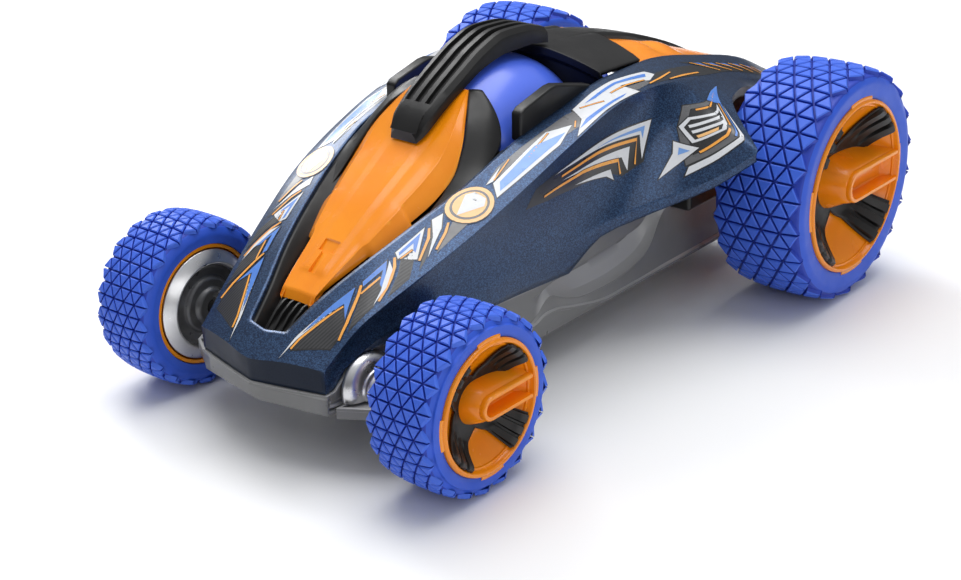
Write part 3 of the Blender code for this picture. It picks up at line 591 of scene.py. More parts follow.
def tread_blocks(spec, y, z):
    """Chamfered triangular blocks in rows round the tyre, standing on its carcass."""
    x0, x1 = spec["tread"]
    middle, rows = (x0 + x1) / 2, spec["rows"]
    side = 2 * math.pi * spec["radius"] / rows / math.sin(math.radians(60))
    side = min(side, (x1 - x0 + 3) / 5)
    bm = bmesh.new()

    def corner(i, j):
        odd = i % 2
        return middle + side * (j - (4 + odd) / 2), 2 * math.pi * i / rows

    def on_tyre(x, a, lift):
        r = tread_radius(spec, x) + lift
        return around(x, r, a, y, z)

    def block(corners):
        cx, ca = (sum(c[k] for c in corners) / 3 for k in (0, 1))
        inner = spec["radius"] * 2 * math.pi / rows / 3  # the triangle's inradius along the tread

        def shrunk(by):
            share = 1 - by / inner
            return [(cx + (x - cx) * share, ca + (a - ca) * share) for x, a in corners]

        foot = [bm.verts.new(on_tyre(x, a, -spec["block"] - 0.4)) for x, a in shrunk(spec["groove"] * 0.75)]
        edge = [bm.verts.new(on_tyre(x, a, -0.34)) for x, a in shrunk(spec["groove"])]
        top = [bm.verts.new(on_tyre(x, a, 0)) for x, a in shrunk(spec["groove"] + 0.34)]
        bm.faces.new(top)
        for low, high in ((foot, edge), (edge, top)):
            for i in range(3):
                bm.faces.new((low[i], low[(i + 1) % 3], high[(i + 1) % 3], high[i]))

    for i in range(rows):
        odd = i % 2
        for j in range(5 + odd):
            here = corner(i, j)
            if odd:
                above = [corner(i + 1, j - 1), corner(i + 1, j)] if 0 < j < 5 else []
            else:
                above = [corner(i + 1, j), corner(i + 1, j + 1)]
            if above:
                block([here, *above])
            if j < 4 + odd:
                block([here, corner(i + 1, j if odd else j + 1), corner(i, j + 1)])
    bmesh.ops.recalc_face_normals(bm, faces=bm.faces)
    return bm


def tyre(spec, y, z):
    """A hollow carcass with smooth sidewalls that bulge, and the tread blocks on it."""
    x0, x1 = spec["tread"]
    ring_in, ring_out = spec["ring_x"]
    r_in, r_out = spec["ring_r"]
    full, base = spec["radius"], spec["block"]
    barrel, lip, inner_lip = r_out - 2.8, ring_out - 1.9, ring_in + 3.3
    crown = [(x, tread_radius(spec, x) - base) for x in spread(x0 + 0.4, x1 - 0.4, (x1 - x0) / 8)]
    outer = [(ring_in - 0.5, r_in + 0.3), (x0 - 0.9, (r_in + full) / 2 - 1), (x0 - 0.6, full - base - 3)]
    outer += crown
    outer += [(x1 + 0.3 * spec["bulge"], full - base - 2.8), (x1 + spec["bulge"], (r_out + full) / 2),
              (ring_out - 0.9, r_out + 1.6), (ring_out - 1.3, r_out + 0.3)]
    outer = rounded_path(outer, 3.0)
    inner = [(lip - GAP, r_out + 0.3), (lip - GAP, barrel + 0.3), (lip - 4.5, barrel + 0.3),
             (lip - 4.5, full - 3.4), (inner_lip + 3, full - 3.4), (inner_lip + 3, barrel + 0.3),
             (inner_lip + 1.9, barrel + 0.3), (inner_lip + 0.4, r_in + 0.3)]
    return joined(turned(outer + inner, y, z), tread_blocks(spec, y, z))


def paint_groove_shade(made, spec, y, z):
    """Gives the carcass between the blocks the darker rubber, as painted shade in the grooves."""
    made.data.materials.append(GROOVE_SHADE)
    x0, x1 = spec["tread"]
    for face in made.data.polygons:
        centre = face.center * 1000 + Vector((0, MIDDLE_Y, 0))
        r = math.hypot(centre.y - y, centre.z - z)
        depth = tread_radius(spec, abs(centre.x)) - r
        if x0 + 0.2 < abs(centre.x) < x1 - 0.2 and spec["block"] * 0.5 < depth < spec["block"] + 0.9:
            face.material_index = 1


def bowl_at(spec, r):
    """How far out the dished wheel disc is at radius r."""
    deep, shallow = spec["disc_x"] + 2.4, spec["ring_x"][1] - 2.5
    outer = spec["ring_r"][1] - 2.6
    t = (r - spec["hub_r"] - 1.5) / (outer - spec["hub_r"] - 1.5)
    return deep + (shallow - deep) * max(t, 0) ** 2.1


def rim(spec, y, z):
    """The orange wheel: a rounded ring with four tabs, and a dished disc."""
    ring_in, ring_out = spec["ring_x"]
    r_in, r_out = spec["ring_r"]
    barrel, lip, inner_lip = r_out - 2.8, ring_out - 1.9, ring_in + 3.3
    disc, hub_r = spec["disc_x"], spec["hub_r"]
    bore = hub_r - 2.4
    bowl_r = r_out - 2.6
    ring = rounded_path([(ring_in, r_in), (inner_lip, r_in), (inner_lip + 1.3, barrel), (lip, barrel),
                         (lip, r_out + 0.2), (ring_out - 0.3, r_out), (ring_out, r_out - 1.1),
                         (ring_out - 0.3, r_out - 1.5), (ring_out - 0.9, r_out - 1.7),
                         (bowl_at(spec, bowl_r) + 0.5, r_out - 2.1)], 0.5)
    dish = [(bowl_at(spec, r), r) for r in spread(hub_r + 0.5, bowl_r, 1.6)[::-1]]
    back = [(disc + 2.3, hub_r), (disc + 2.3, bore), (disc, bore), (disc, hub_r), (disc, barrel - 3),
            (disc + 2, barrel - 1.7), (inner_lip + 2, barrel - 1.7), (inner_lip, r_in - 1.2),
            (ring_in, r_in - 1.2)]
    tabs = []
    for quarter in range(4):
        rows = []
        for x, r in ((lip - 0.7, r_out - 1), (lip - 0.7, r_out + 1.9), (ring_out - 1.2, r_out + 1.7),
                     (ring_out - 0.7, r_out + 1.0), (ring_out - 0.7, r_out - 1)):
            rows.append([around(x, r, math.radians(90 * quarter - 13 + 2 * k), y, z) for k in range(14)])
        tabs.append(capped(sheet(rows + [rows[0]])))
    return joined(turned(ring + dish + back, y, z), *tabs)


def spoke_insert(spec, y, z):
    """The black cross over the disc: spokes that widen to the ring, each with three ribs."""
    r_hub, r_rim = spec["hub_r"] + 0.3, spec["ring_r"][1] - 2.0
    zone = spec["handle_base"] + 2.0
    narrow, wide = spec["ring_r"][1] * 0.2, spec["ring_r"][1] * 0.285
    across = [(-1, 0), (-0.84, 0), (-0.78, 1), (-0.52, 1), (-0.46, 0), (-0.19, 0), (-0.13, 1), (0.13, 1),
              (0.19, 0), (0.46, 0), (0.52, 1), (0.78, 1), (0.84, 0), (1, 0)]
    radii = spread(r_hub, r_rim, (r_rim - r_hub) / 20)
    parts = []
    for quarter in range(4):
        middle = math.radians(45 + 90 * quarter)
        rows = []
        for r in radii:
            t = (r - r_hub) / (r_rim - r_hub)
            spoke = math.asin(min(0.7, (narrow + (wide - narrow) * t ** 2) / r))
            open_share = min(max((r - zone) / (r_rim - zone) * 3.2, 0), 1) ** 0.55
            angle = math.pi / 4 + (spoke - math.pi / 4) * open_share
            rib = min(max((t - 0.46) / 0.46, 0), 1) * min(1, (1 - t) / 0.06)
            row = []
            for u, raised in across:
                a = middle + u * angle
                x = bowl_at(spec, r) + 0.8 + raised * rib * spec["ring_r"][1] * 0.075
                row.append(around(x, r, a, y, z))
            rows.append(row)
        parts.append(sheet(rows))
    return joined(*parts)


def handle(name, spec, y, z, body, stands_for, side):
    """The grab handle: a tapered boss from the hub to the ring, with a deep slot along its back."""
    ring_out = spec["ring_x"][1]
    front = spec["disc_x"] + 2.5 + GAP
    top, base = spec["handle_top"], spec["handle_base"]
    limit = spec["ring_r"][1] - 2.4
    levels = [(front - 0.3, base + 1.2), (front + 0.5, base + 0.45), (front + 1.4, base + 0.1),
              (front + 2.4, base - 0.25), (front + 0.62 * (ring_out - front), top + 1.3),
              (ring_out - 2.3, top + 0.55), (ring_out - 1.9, top + 0.15), (ring_out - 0.5, top + 0.1),
              (ring_out, top - 0.2)]
    rows = []
    for x, half in levels:
        t = (x - front) / (ring_out - front)
        reach = math.sqrt((limit - 2.2 * (1 - max(t, 0))) ** 2 - half ** 2)
        rows.append([(x, a, b) for a, b in stadium(half, y, y + reach, z)])
    bm = capped(sheet(rows, ring=True))
    slot_rows = []
    for x, half, start in ((ring_out + 2, top - 1.15, 0), (ring_out - 0.2, top - 1.35, 0),
                           (ring_out - 5.2, top - 1.75, 1.5), (ring_out - 5.7, top - 2.3, 2.2)):
        slot_rows.append([(x, a, b) for a, b in stadium(half, y + start, y + limit + 6, z)])
    slot = capped(sheet(slot_rows, ring=True))
    bore_r = spec["hub_r"] - 0.2
    bore = turned([(front - 3, 0.01), (front - 3, bore_r), (front + 2.6, bore_r), (front + 2.6, 0.01)],
                  y, z, 32)
    made = piece(name, on_side(bm, side), ORANGE, body, stands_for)
    softened(cut(made, on_side(slot, side), on_side(bore, side)), 0.22, 2, 40)


def wheel(prefix, spec, side, y, z, body):
    parts = (("tyre", tyre(spec, y, z), RUBBER, 22), ("rim", rim(spec, y, z), ORANGE, 32),
             ("spoke_insert", spoke_insert(spec, y, z), BLACK, 25))
    for kind, bm, finish, sharp in parts:
        node = f"{prefix}_{kind}"
        made = piece(f"{node}_detailed", on_side(bm, side), finish, body, node, sharp,
                     outward=kind != "spoke_insert")
        if kind == "spoke_insert":
            walled(made, 0.8, 0)
        if kind == "tyre":
            paint_groove_shade(made, spec, y, z)
    handle(f"{prefix}_handle_detailed", spec, y, z, body, f"{prefix}_handle", side)


# ---- body ------------------------------------------------------------------------------
def body_section(y):
    """The outer line of the painted body at y, from the cockpit edge over the fender to the skirt."""
    corners = (FLARE_TIP, FLARE_NOTCH)
    inner, crease = smooth_at(INNER_EDGE, y), smooth_at(CREASE, y)
    flare, skirt = cornered_at(FLARE_EDGE, y, corners), cornered_at(SKIRT, y, (85, *corners))
    points = []
    for t in (0, 0.3, 0.65, 1):
        x, z = mix(inner, crease, t)
        points.append((x, y, z + 2.0 * t * (1 - t)))
    depth = SIDE_HOLLOW * (crease[1] - flare[1])
    for t in (0.14, 0.32, 0.5, 0.68, 0.86, 1):
        x, z = mix(crease, flare, t)
        points.append((x - depth * 4 * t * (1 - t), y, z))
    points.append((skirt[0], y, skirt[1]))
    return points


def body_shell():
    """Two painted fenders that meet at the nose, with hollowed side panels that flare out to a point."""
    turns = (-9.5, 85, 92, 100, FLARE_TIP - 2, FLARE_TIP, FLARE_TIP + 2, 157, FLARE_NOTCH)
    stations = spread(BODY_FRONT, BODY_BACK, 6, turns)
    rows = [body_section(y) for y in stations]
    main = sheet(rows, creased_columns={0: 0.8, 3: 0.72, 9: 0.9, 10: 0.9})

    first = rows[0]
    top = [NOSE_BROW, (4.4, -19.9, 43.95), *first[:4]]
    front_top = [NOSE_PEAK, (5, -28.6, 36.9)]
    for x in (9.5, 15.5, 22.5):
        t = x / NOSE_CORNER[0]
        front_top.append((x, NOSE_PEAK[1] + (NOSE_CORNER[1] - NOSE_PEAK[1]) * t ** 1.15,
                          NOSE_PEAK[2] + 1.9 * math.sin(math.pi * t * 0.62) - 0.75 * t ** 3))
    front_top.append(NOSE_CORNER)
    front_low = []
    for x, _, _ in front_top:
        t = x / NOSE_CORNER[0]
        front_low.append((x, NOSE_CHIN[1] + (NOSE_JAW[1] - NOSE_CHIN[1]) * t ** 1.1, NOSE_CHIN[2] + 1.2 * t))
    hood = sheet([top, mix_rows(top, front_top, 0.5), front_top],
                 creased_rows={2: 1}, creased_columns={0: 0.9, 5: 0.72})
    band = sheet([front_top, mix_rows(front_top, front_low, 0.5), front_low],
                 creased_rows={0: 1, 2: 0.95}, creased_columns={0: 1, 5: 1})
    side = first[3:]
    edge = [mix(NOSE_CORNER, NOSE_JAW, t) for t in (0, 0.14, 0.3, 0.46, 0.62, 0.8, 0.93, 1)]
    cheek = sheet([side, mix_rows(side, edge, 0.5), edge],
                  creased_rows={2: 1}, creased_columns={0: 0.72, 7: 0.9, 6: 0.3})
    made = piece("body_shell_painted", joined(main, hood, band, cheek), PAINT, "chassis", "body_shell",
                 weld=0.01)
    turned_up(made)
    made.data.materials.append(TWO_TONE_AND_SHADE_PAINT)
    # Painted shade: the nose band faces that look forward, and the strip under the tail's flare, take the
    # darker paint.
    for face in made.data.polygons:
        y, z = face.center.y * 1000 + MIDDLE_Y, face.center.z * 1000
        on_nose_band = face.normal.y < -0.8 and y < -21
        under_tail = y > 157 and z < cornered_at(FLARE_EDGE, y, (FLARE_TIP, FLARE_NOTCH))[1] - 1
        face.material_index = int(on_nose_band or under_tail)
    return moulded(made, 2.0, 0.85)


def arch_shade_blocks():
    """Black blocks inside the body beside the rear wheels: a dark sheet put in as painted shade in the gap
    between body and tyre.
    """
    outline = [(152, 40), (152, 68), (160, 83), (168, 84.3), (182, 81.3), (196, 77), (207, 70), (207, 60),
               (188, 60), (188, 40)]
    for name, side in SIDES:
        bm = on_side(prism(outline, 37.4, 48.2, axis="X"), side)
        softened(piece(f"rear_arch_shade_block_{name}", bm, BLACK), 1.6, 3)


def chassis_tub():
    """The grey tub, with a scooped channel and a rail along each side and a lip round the nose."""
    # (y, z) of the channel's upper and lower edge, and of the rail under it
    crest = [(66, 33.4), (76, 34.4), (89, 35.6), (108, 36.8), (133, 38.8), (140, 44), (147, 52), (160, 54)]
    trough = [(66, 32), (73, 32.4), (84, 27.5), (99, 22.8), (114, 22.2), (128, 23.6), (140, 28), (147, 38),
              (160, 40)]
    ledge = [(-22.6, 24.5), (40, 23), (64, 23.6), (80, 23.4), (92, 20.6), (114, 16.6), (TUB_BACK, 16.8)]
    rows = []
    for y in spread(-21.6, TUB_BACK, 4, (-19, -9, 2, 20, 47, 85)):
        xt, zt = smooth_at(TUB_TOP, y)
        xf, zf = smooth_at(TUB_FLOOR, y)
        inside = eased((y - 70) / 8) * eased((149 - y) / 5)
        z1 = min(smooth_at(crest, y)[0], zt - 0.6)
        z2 = min(smooth_at(trough, y)[0], z1 - 0.8)
        flat1, flat2 = zt - (zt - zf) * 0.18, zf + (zt - zf) * 0.46
        z1, z2 = flat1 + (z1 - flat1) * inside, flat2 + (z2 - flat2) * inside
        zl = max(zf + 3.4, min(smooth_at(ledge, y)[0], z2 - 2.2))
        depth = min(6.5, (z1 - z2) * 0.5) * inside
        rail = 0.7 * eased((y - 30) / 8) * eased((214 - y) / 8)
        out = xt + 0.2
        low = mix((xf + 0.9, zf + 1.5), (out, zl), 0.5)
        rows.append([(xt, y, zt), (out, y, z1 + 0.5), (out, y, z1 - 0.2), (out - depth, y, z1 - 1.0),
                     (out - depth * 1.1, y, (z1 * 0.6 + z2 * 0.4)), (out - depth * 0.5, y, z2 + 1.2),
                     (out, y, z2), (xt - 0.2, y, z2 - 0.6), (out - 0.2, y, zl + 0.8),
                     (out + rail, y, zl + 0.4), (out + rail, y, zl - 0.4), (out - 0.4, y, zl - 0.8),
                     (low[0], y, low[1] - 0.5), (xf + 0.6, y, zf + 1.8), (xf - 0.6, y, zf + 0.5),
                     (xf - 2.5, y, zf), (xf * 0.5, y, zf), (0, y, zf)])
    sharp = {k: 0.8 for k in (1, 2, 6, 7, 8, 9, 10, 11, 13)}
    main = sheet(rows, creased_columns=sharp)
    brow, chin, keel = [], [], []
    for t in (0, 0.3, 0.7, 1):
        brow.append((29 * t, -29 + 6.0 * t ** 1.1, 27.9 + 0.9 * t))
        chin.append((28.9 * t, -26.8 + 3.7 * t ** 1.1, 20.4 + 1.2 * t))
        keel.append((28.6 * t, 1, 19.7))
    front = sheet([brow, mix_rows(brow, chin, 0.5), chin, mix_rows(chin, keel, 0.5), keel],
                  creased_rows={0: 0.9, 2: 0.9}, creased_columns={0: 0.9})
    middle = TUB_BACK + 0.5
    tail = [rows[-1], [mix(p, (0, middle, 30), 0.5) for p in rows[-1]],
            [(0, middle, 48 - 1.9 * k) for k in range(len(rows[-1]))]]
    made = piece("chassis_tub_sculpted", joined(main, front, sheet(tail)), GREY, "chassis", "chassis_tub",
                 weld=0.01)
    turned_up(made).data.flip_normals()
    moulded(made, 1.6, levels=1)


def nose_trim():
    """The bright-edged lip under the painted nose band."""
    path = []
    for t in (0, 0.25, 0.5, 0.75, 1):
        x = 28.9 * t
        path.append((x, -29.1 + 6.0 * t ** 1.1, 27.75 + 1.15 * t))
    path += [(29.2, -19.5, 29.4), (29.2, -10.5, 37.0)]
    section = ((-0.9, -0.7), (0.35, -0.7), (0.35, 0.15), (-0.9, 0.15))
    rows = []
    for x, y, z in path:
        along_side = x > 28
        rows.append([(x + a * along_side, y - a * (not along_side), z + b) for a, b in section])
    made = piece("nose_lip_trim", capped(sheet(rows, ring=True)), GREY)
    softened(both_sides(made), 0.15, 2)


# ---- cockpit ----------------------------------------------------------------------------
def cockpit_tray():
    """The black well between the fenders, with a ledge along each one, and the fins in its intake."""
    rows = []
    for y in spread(-18.6, 66, 3):
        x, z = smooth_at(INNER_EDGE, y)
        deep = 6 + 2.5 * eased((y + 10) / 20)
        rows.append([(x - 0.15, y, z - 1.2), (x - 1.3, y, z - 1.0), (x - 1.9, y, z - 1.4),
                     (x * 0.78 - 0.8, y, z - deep * 0.55), (x * 0.62, y, z - deep), (0, y, z - deep)])
    lip = [(p[0] * 0.9, p[1] - 1.3, p[2] - 0.6) for p in rows[0]]
    made = piece("cockpit_tray_moulded", sheet([lip, *rows], creased_columns={1: 0.8, 2: 0.8, 4: 0.8}), BLACK,
                 "chassis", "cockpit_tray")
    moulded(turned_up(made), 1.6)

    outline = [(-17.2, 37.6), (-4, 43.5), (-1, 46.2), (-3.4, 48.4), (-7.4, 47.8), (-11.5, 45.4),
               (-15.5, 41.4)]
    fins = [prism(outline, x - 0.45, x + 0.45, axis="X") for x in (-4.6, -1.55, 1.55, 4.6)]
    made = piece("intake_fins", joined(*fins), BLACK)
    softened(made, 0.2, 2)


def canopy_hood():
    """The orange hood: a flat ridge with a step near its tip, creased flanks and stepped lower edges."""
    rows = []
    for y in spread(-4.5, 70.5, 2.2, (1.4, 2.2, 15, 16, 29, 30)):
        xe, ze, xr, zr = smooth_at(CANOPY, y)
        bulge = 1.8 * eased((y - 15) / 1.0) * eased((30 - y) / 1.0)
        xe, ze = xe + bulge, ze - bulge * 0.35
        step = 0.9 * eased((y - 1.4) / 0.8)
        top = zr + step * 0.7
        row = [(0, y, top + 0.1), (xr * 0.55, y, top), (xr * 0.62, y, top - 0.15), (xr * 0.98, y, zr - 0.2)]
        for t in (0.14, 0.42, 0.5, 0.58, 0.8, 1.0):
            x, z = mix((xr, zr), (xe, ze), t)
            swell, ridge = math.sin(math.pi * t), 0.35 if t == 0.5 else 0
            row.append((x + 0.9 * swell, y, z + 1.5 * swell * (xe - xr) / 12 + ridge))
        row[-1] = (xe + 0.1, y, ze - 0.3)
        rows.append(row)
    tip = [(x * (1.02 if k > 2 else 0.98), -6.0, z - 3.4 + (0.9 if k > 5 else 0))
           for k, (x, _, z) in enumerate(rows[0])]
    made = piece("canopy_hood_moulded", sheet([tip, *rows], creased_columns={2: 0.6, 3: 0.75, 6: 0.5},
                                              creased_rows={1: 0.9}), ORANGE, "chassis", "canopy_hood")
    moulded(turned_up(made), 1.4, 0.85)
    notch = prism([(8.6, 59.3), (12.6, 62.7), (13.4, 75), (8.6, 75)], -3.4, 3.4, axis="X")
    stem = prism([(1.5, 54.3), (8.8, 60.0), (8.8, 75), (1.5, 75)], -1.5, 1.5, axis="X")
    softened(cut(made, notch, stem), 0.15, 2, 40)


def surrounds():
    """The black fins that follow the back of the hood, and the shoulder pads beside the dome."""
    front = [(22.2, 33, 69.8), (22.9, 41, 75), (23.0, 48.6, 81.2), (21.2, 55.6, 88.9), (17.8, 61.2, 95.5),
             (13.4, 67.0, 99.4), (10.0, 71.6, 102.2)]
    back = [(30.0, 43, 77.0), (30.4, 52, 80.8), (30.0, 60, 84.2), (28.8, 66, 87.6), (26.6, 69.0, 91.8),
            (22.6, 70.8, 97.4), (15.0, 73.6, 101.8)]
    pad = [(73.5, 86.5), (73.8, 96.6), (76.0, 98.0), (90.5, 101.6), (94, 101.8), (113.5, 97.0), (113.8, 95.0),
           (96, 90)]
    rows = []
    for s in (0, 0.25, 0.5, 0.75, 0.92, 1):
        bow = 1.6 * math.sin(math.pi * s)
        rows.append([(x + bow, y, z + bow * 0.4) for x, y, z in mix_rows(front, back, s)])
    rows.append([(x - 1.2, y + 1.2, z - 2.0) for x, y, z in rows[-1]])
    for name, side in SIDES:
        fin = on_side(sheet(rows, creased_rows={5: 0.5}), side)
        made = piece(f"cockpit_fin_{name}", fin, BLACK, "chassis", f"cockpit_surround_{name}")
        smoothed(walled(made, 1.6, 0.75))
        block = on_side(prism(pad, 26.6, 31.2, axis="X"), side)
        softened(piece(f"shoulder_pad_{name}", block, BLACK), 0.9, 3)


def roof_spine():
    """The black roll bar over the dome, with three grooves along its back and a rounded front block."""
    rows = []
    for y in spread(SPINE[0][0], SPINE[-1][0], 2, (56.5, 57.3, 114, 114.8)):
        half, low, high = smooth_at(SPINE, y)
        nose = (1 - min((y - SPINE[0][0]) / 6, 1)) ** 2.5
        high -= 3.0 * nose
        half -= 1.6 * nose
        depth = 1.5 * eased((y - 56.5) / 0.8) * eased((114.8 - y) / 0.8)
        shoulder = [(half, high - 3.2), (half - 0.25, high - 1.9), (half - 1.9, high - 0.25)]
        grooves = []
        for c in (4.6, 0, -4.6):
            grooves += [(c + 1.35, high), (c + 1.0, high - depth), (c - 1.0, high - depth), (c - 1.35, high)]
        other = [(-x, z) for x, z in shoulder[::-1]]
        rows.append([(x, y, z) for x, z in [(-half, low), (half, low), *shoulder, *grooves, *other]])
    spine = capped(sheet(rows, ring=True))
    made = piece("roof_spine_grooved", spine, BLACK, "chassis", "roof_spine", sharp=28)
    softened(made, 0.25, 2, 30)


def rear_deck():
    """The black ridge behind the dome, its front slab, and the orange panels beside the ridge."""
    rows = []
    for y in spread(118, 220, 4, (146,)):
        top, half = smooth_at(REAR_DECK, y)
        rows.append([(0, y, top), (half * 0.8, y, top - 0.2), (half, y, top - 1.4),
                     (half + 0.3, y, top - 3.6)])
    made = piece("rear_ridge", sheet(rows, creased_columns={1: 0.6, 2: 0.6}), BLACK, "chassis", "rear_deck")
    moulded(turned_up(made), 1.6)

    columns = [(0, 108.0), (9.0, 107.6), (11.5, 107.0), (19, 104.2), (26.5, 100.6), (29.6, 98.6)]
    rows = []
    for s in (0, 0.06, 0.25, 0.5, 0.75, 0.94, 1):
        row = []
        for x, z in columns:
            y_front = 112.8 + 8.6 * max(0, x - 9) / 21
            y = y_front + (145.6 - y_front) * s
            top, _ = smooth_at(REAR_DECK, max(y, 118))
            _, z_side = smooth_at(INNER_EDGE, y)
            share = x / columns[-1][0]
            lean = (1 - share) * (top - 107.2) + share * (z_side - 97.5)
            row.append((x, y, z + lean - 1.2 * s - (1.2 if x == 0 else 0)))
        rows.append(row)
    front = [[(x, y + back, z - drop) for x, y, z in rows[0]]
             for back, drop in ((5, 24), (3.2, 5.2), (0.6, 3.0))]
    creases = {1: 0.6, 2: 0.85, 3: 0.85, 4: 0.2}
    made = piece("rear_deck_slab", sheet([*front, *rows], creased_rows=creases), BLACK)
    moulded(turned_up(made), 1.6)

    rows = []
    for y in spread(145.8, 236, 2.2):
        top, half = smooth_at(REAR_DECK + [(224, 77.4, 0.0), (236, 71, 0.0)], y)
        x, z = smooth_at(INNER_EDGE, y)
        inner, outer = (half + 0.5 if y < 220 else 0, y, top - 2.6), (x - 1.2, y, z - 1.5)
        row = []
        for t in (0, 0.2, 0.35, 0.5, 0.65, 0.8, 0.92, 1):
            px, _, pz = mix(inner, outer, t)
            pillows = sum(math.exp(-((y - c) / 5.0) ** 4) for c in (159, 174))
            swell = 1.9 * pillows * math.exp(-((t - 0.5) / 0.26) ** 4)
            row.append((px, y, pz + swell + 0.8 * math.sin(math.pi * t)))
        rows.append(row)
    made = piece("rear_deck_panels", sheet(rows), ORANGE, "chassis", "rear_deck_panel")
    moulded(turned_up(made), 1.4, levels=1)


def tail_panel():
    """The black panel with three slats that closes the body between the deck and the tub."""
    top = [(0, 231.2, 68.6), (13, 231, 69.2), (30, 230, 69.6), (40, 228, 61)]
    low = [(0, 222.6, 42), (13, 222.6, 42), (30, 222.4, 42), (36.4, 221.6, 42)]
    rows = [mix_rows(low, top, t) for t in (0, 0.33, 0.66, 1)]
    bars = []
    for z in (52, 58, 64):
        y = 222.6 + (z - 42) / 31.5 * 8.9
        section = [(y - 1, z - 1.3), (y + 1.7, z - 1.3), (y + 1.7, z + 1.1), (y - 1, z + 1.3)]
        bars.append(prism(section, -26, 26, "X"))
    made = piece("tail_panel", sheet(rows), BLACK)
    moulded(made, 1.6, levels=1)
    softened(piece("tail_slats", joined(*bars), BLACK), 0.4, 2)


def dome():
    """The glossy hollow cover over the gyroscope."""
    def ring(lift, grow):
        return [(DOME_CENTRE.x + (DOME_RADII.x + grow) * math.cos(lift) * math.cos(a),
                 DOME_CENTRE.y + (DOME_RADII.y + grow) * math.cos(lift) * math.sin(a),
                 DOME_CENTRE.z + (DOME_RADII.z + grow) * math.sin(lift))
                for a in (2 * math.pi * k / 96 for k in range(96))]

    outer = [ring(math.pi / 2 * i / 30, 0) for i in range(30)]
    inner = [ring(math.pi / 2 * i / 30, -1.8) for i in range(30)]
    foot = [ring(0, -0.6)]
    bm = capped(sheet(inner[::-1] + foot + outer, ring=True))
    piece("gyro_dome_glossy", bm, DOME_BLUE, "chassis", "gyro_dome")


# ---- front end ---------------------------------------------------------------------------
def front_corner(name, side):
    """Chromed dish, domed boss and grey arm of one front wheel."""
    dish = rounded_path([(52.3, 14.6), (50.2, 15.4), (50.0, 15.9), (52.7, 19.9), (54.3, 19.9), (54.3, 14.6)],
                        0.3)
    core = rounded_path([(49.3, 2.7), (49.3, 5.6), (49.8, 6.2), (50.9, 7.0), (50.9, 9.4), (51.6, 10.2),
                         (52.4, 10.6), (52.6, 13.4), (52.2, 14.7), (54.2, 14.7), (54.2, 2.7)], 0.35)
    for label, profile, finish, stands_for in (("chrome", dish, CHROME, f"front_dish_{name}"),
                                               ("core", core, CORE, ())):
        bm = on_side(turned(profile, 0, FRONT_R, 72), side)
        piece(f"front_dish_{label}_{name}", bm, finish, f"knuckle_{name}", stands_for)

    cap = rounded_path([(29.8, 0.01), (29.8, 11.2), (31.0, 11.3), (33.0, 10.4), (34.4, 8.4), (34.9, 6.5),
                        (35.6, 6.2), (35.9, 5.2), (36.8, 4.7), (38.2, 3.4), (39.2, 1.8), (39.5, 0.01)], 0.9)
    boss = capped(on_side(turned(cap, -6.5, 27.6, 64, closed=False), side))
    under_arm = prism([(10, -30), (60, -30), (60, 20), (10, 20)], 5, 24.75)
    made = piece(f"front_boss_{name}_chrome", boss, CHROME, "chassis", f"front_boss_{name}")
    cut(made, on_side(under_arm, side))

    outline = [(30.6, -21), (43.6, -13), (46.6, -7), (46.6, 4.5), (43, 8), (33.6, 8)]
    plate = prism(outline, 20.6, 23.6)
    inner = [(31.4, -19.2), (42.8, -12.2), (45.4, -6.6), (45.4, 4.0), (42.4, 6.9), (34.2, 6.9)]
    wall = [[(x, y, z) for x, y in line]
            for line, z in ((outline, 23.4), (outline, 24.6), (inner, 24.6), (inner, 23.4))]
    raised = sheet(wall + [wall[0]], ring=True)
    screw = turned([(0, 1.2), (0, 3.1), (0.9, 3.1), (1.1, 2.8), (1.1, 1.8), (0.4, 1.2)], 0, 0, 32)
    bmesh.ops.rotate(screw, verts=screw.verts, matrix=Matrix.Rotation(-math.pi / 2, 3, "Y"))
    bmesh.ops.translate(screw, verts=screw.verts, vec=(41.6, -9.0, 23.6))
    whole = on_side(joined(plate, raised, screw), side)
    made = piece(f"front_arm_{name}_ribbed", whole, GREY, "chassis", f"front_arm_{name}")
    softened(made, 0.25, 2)


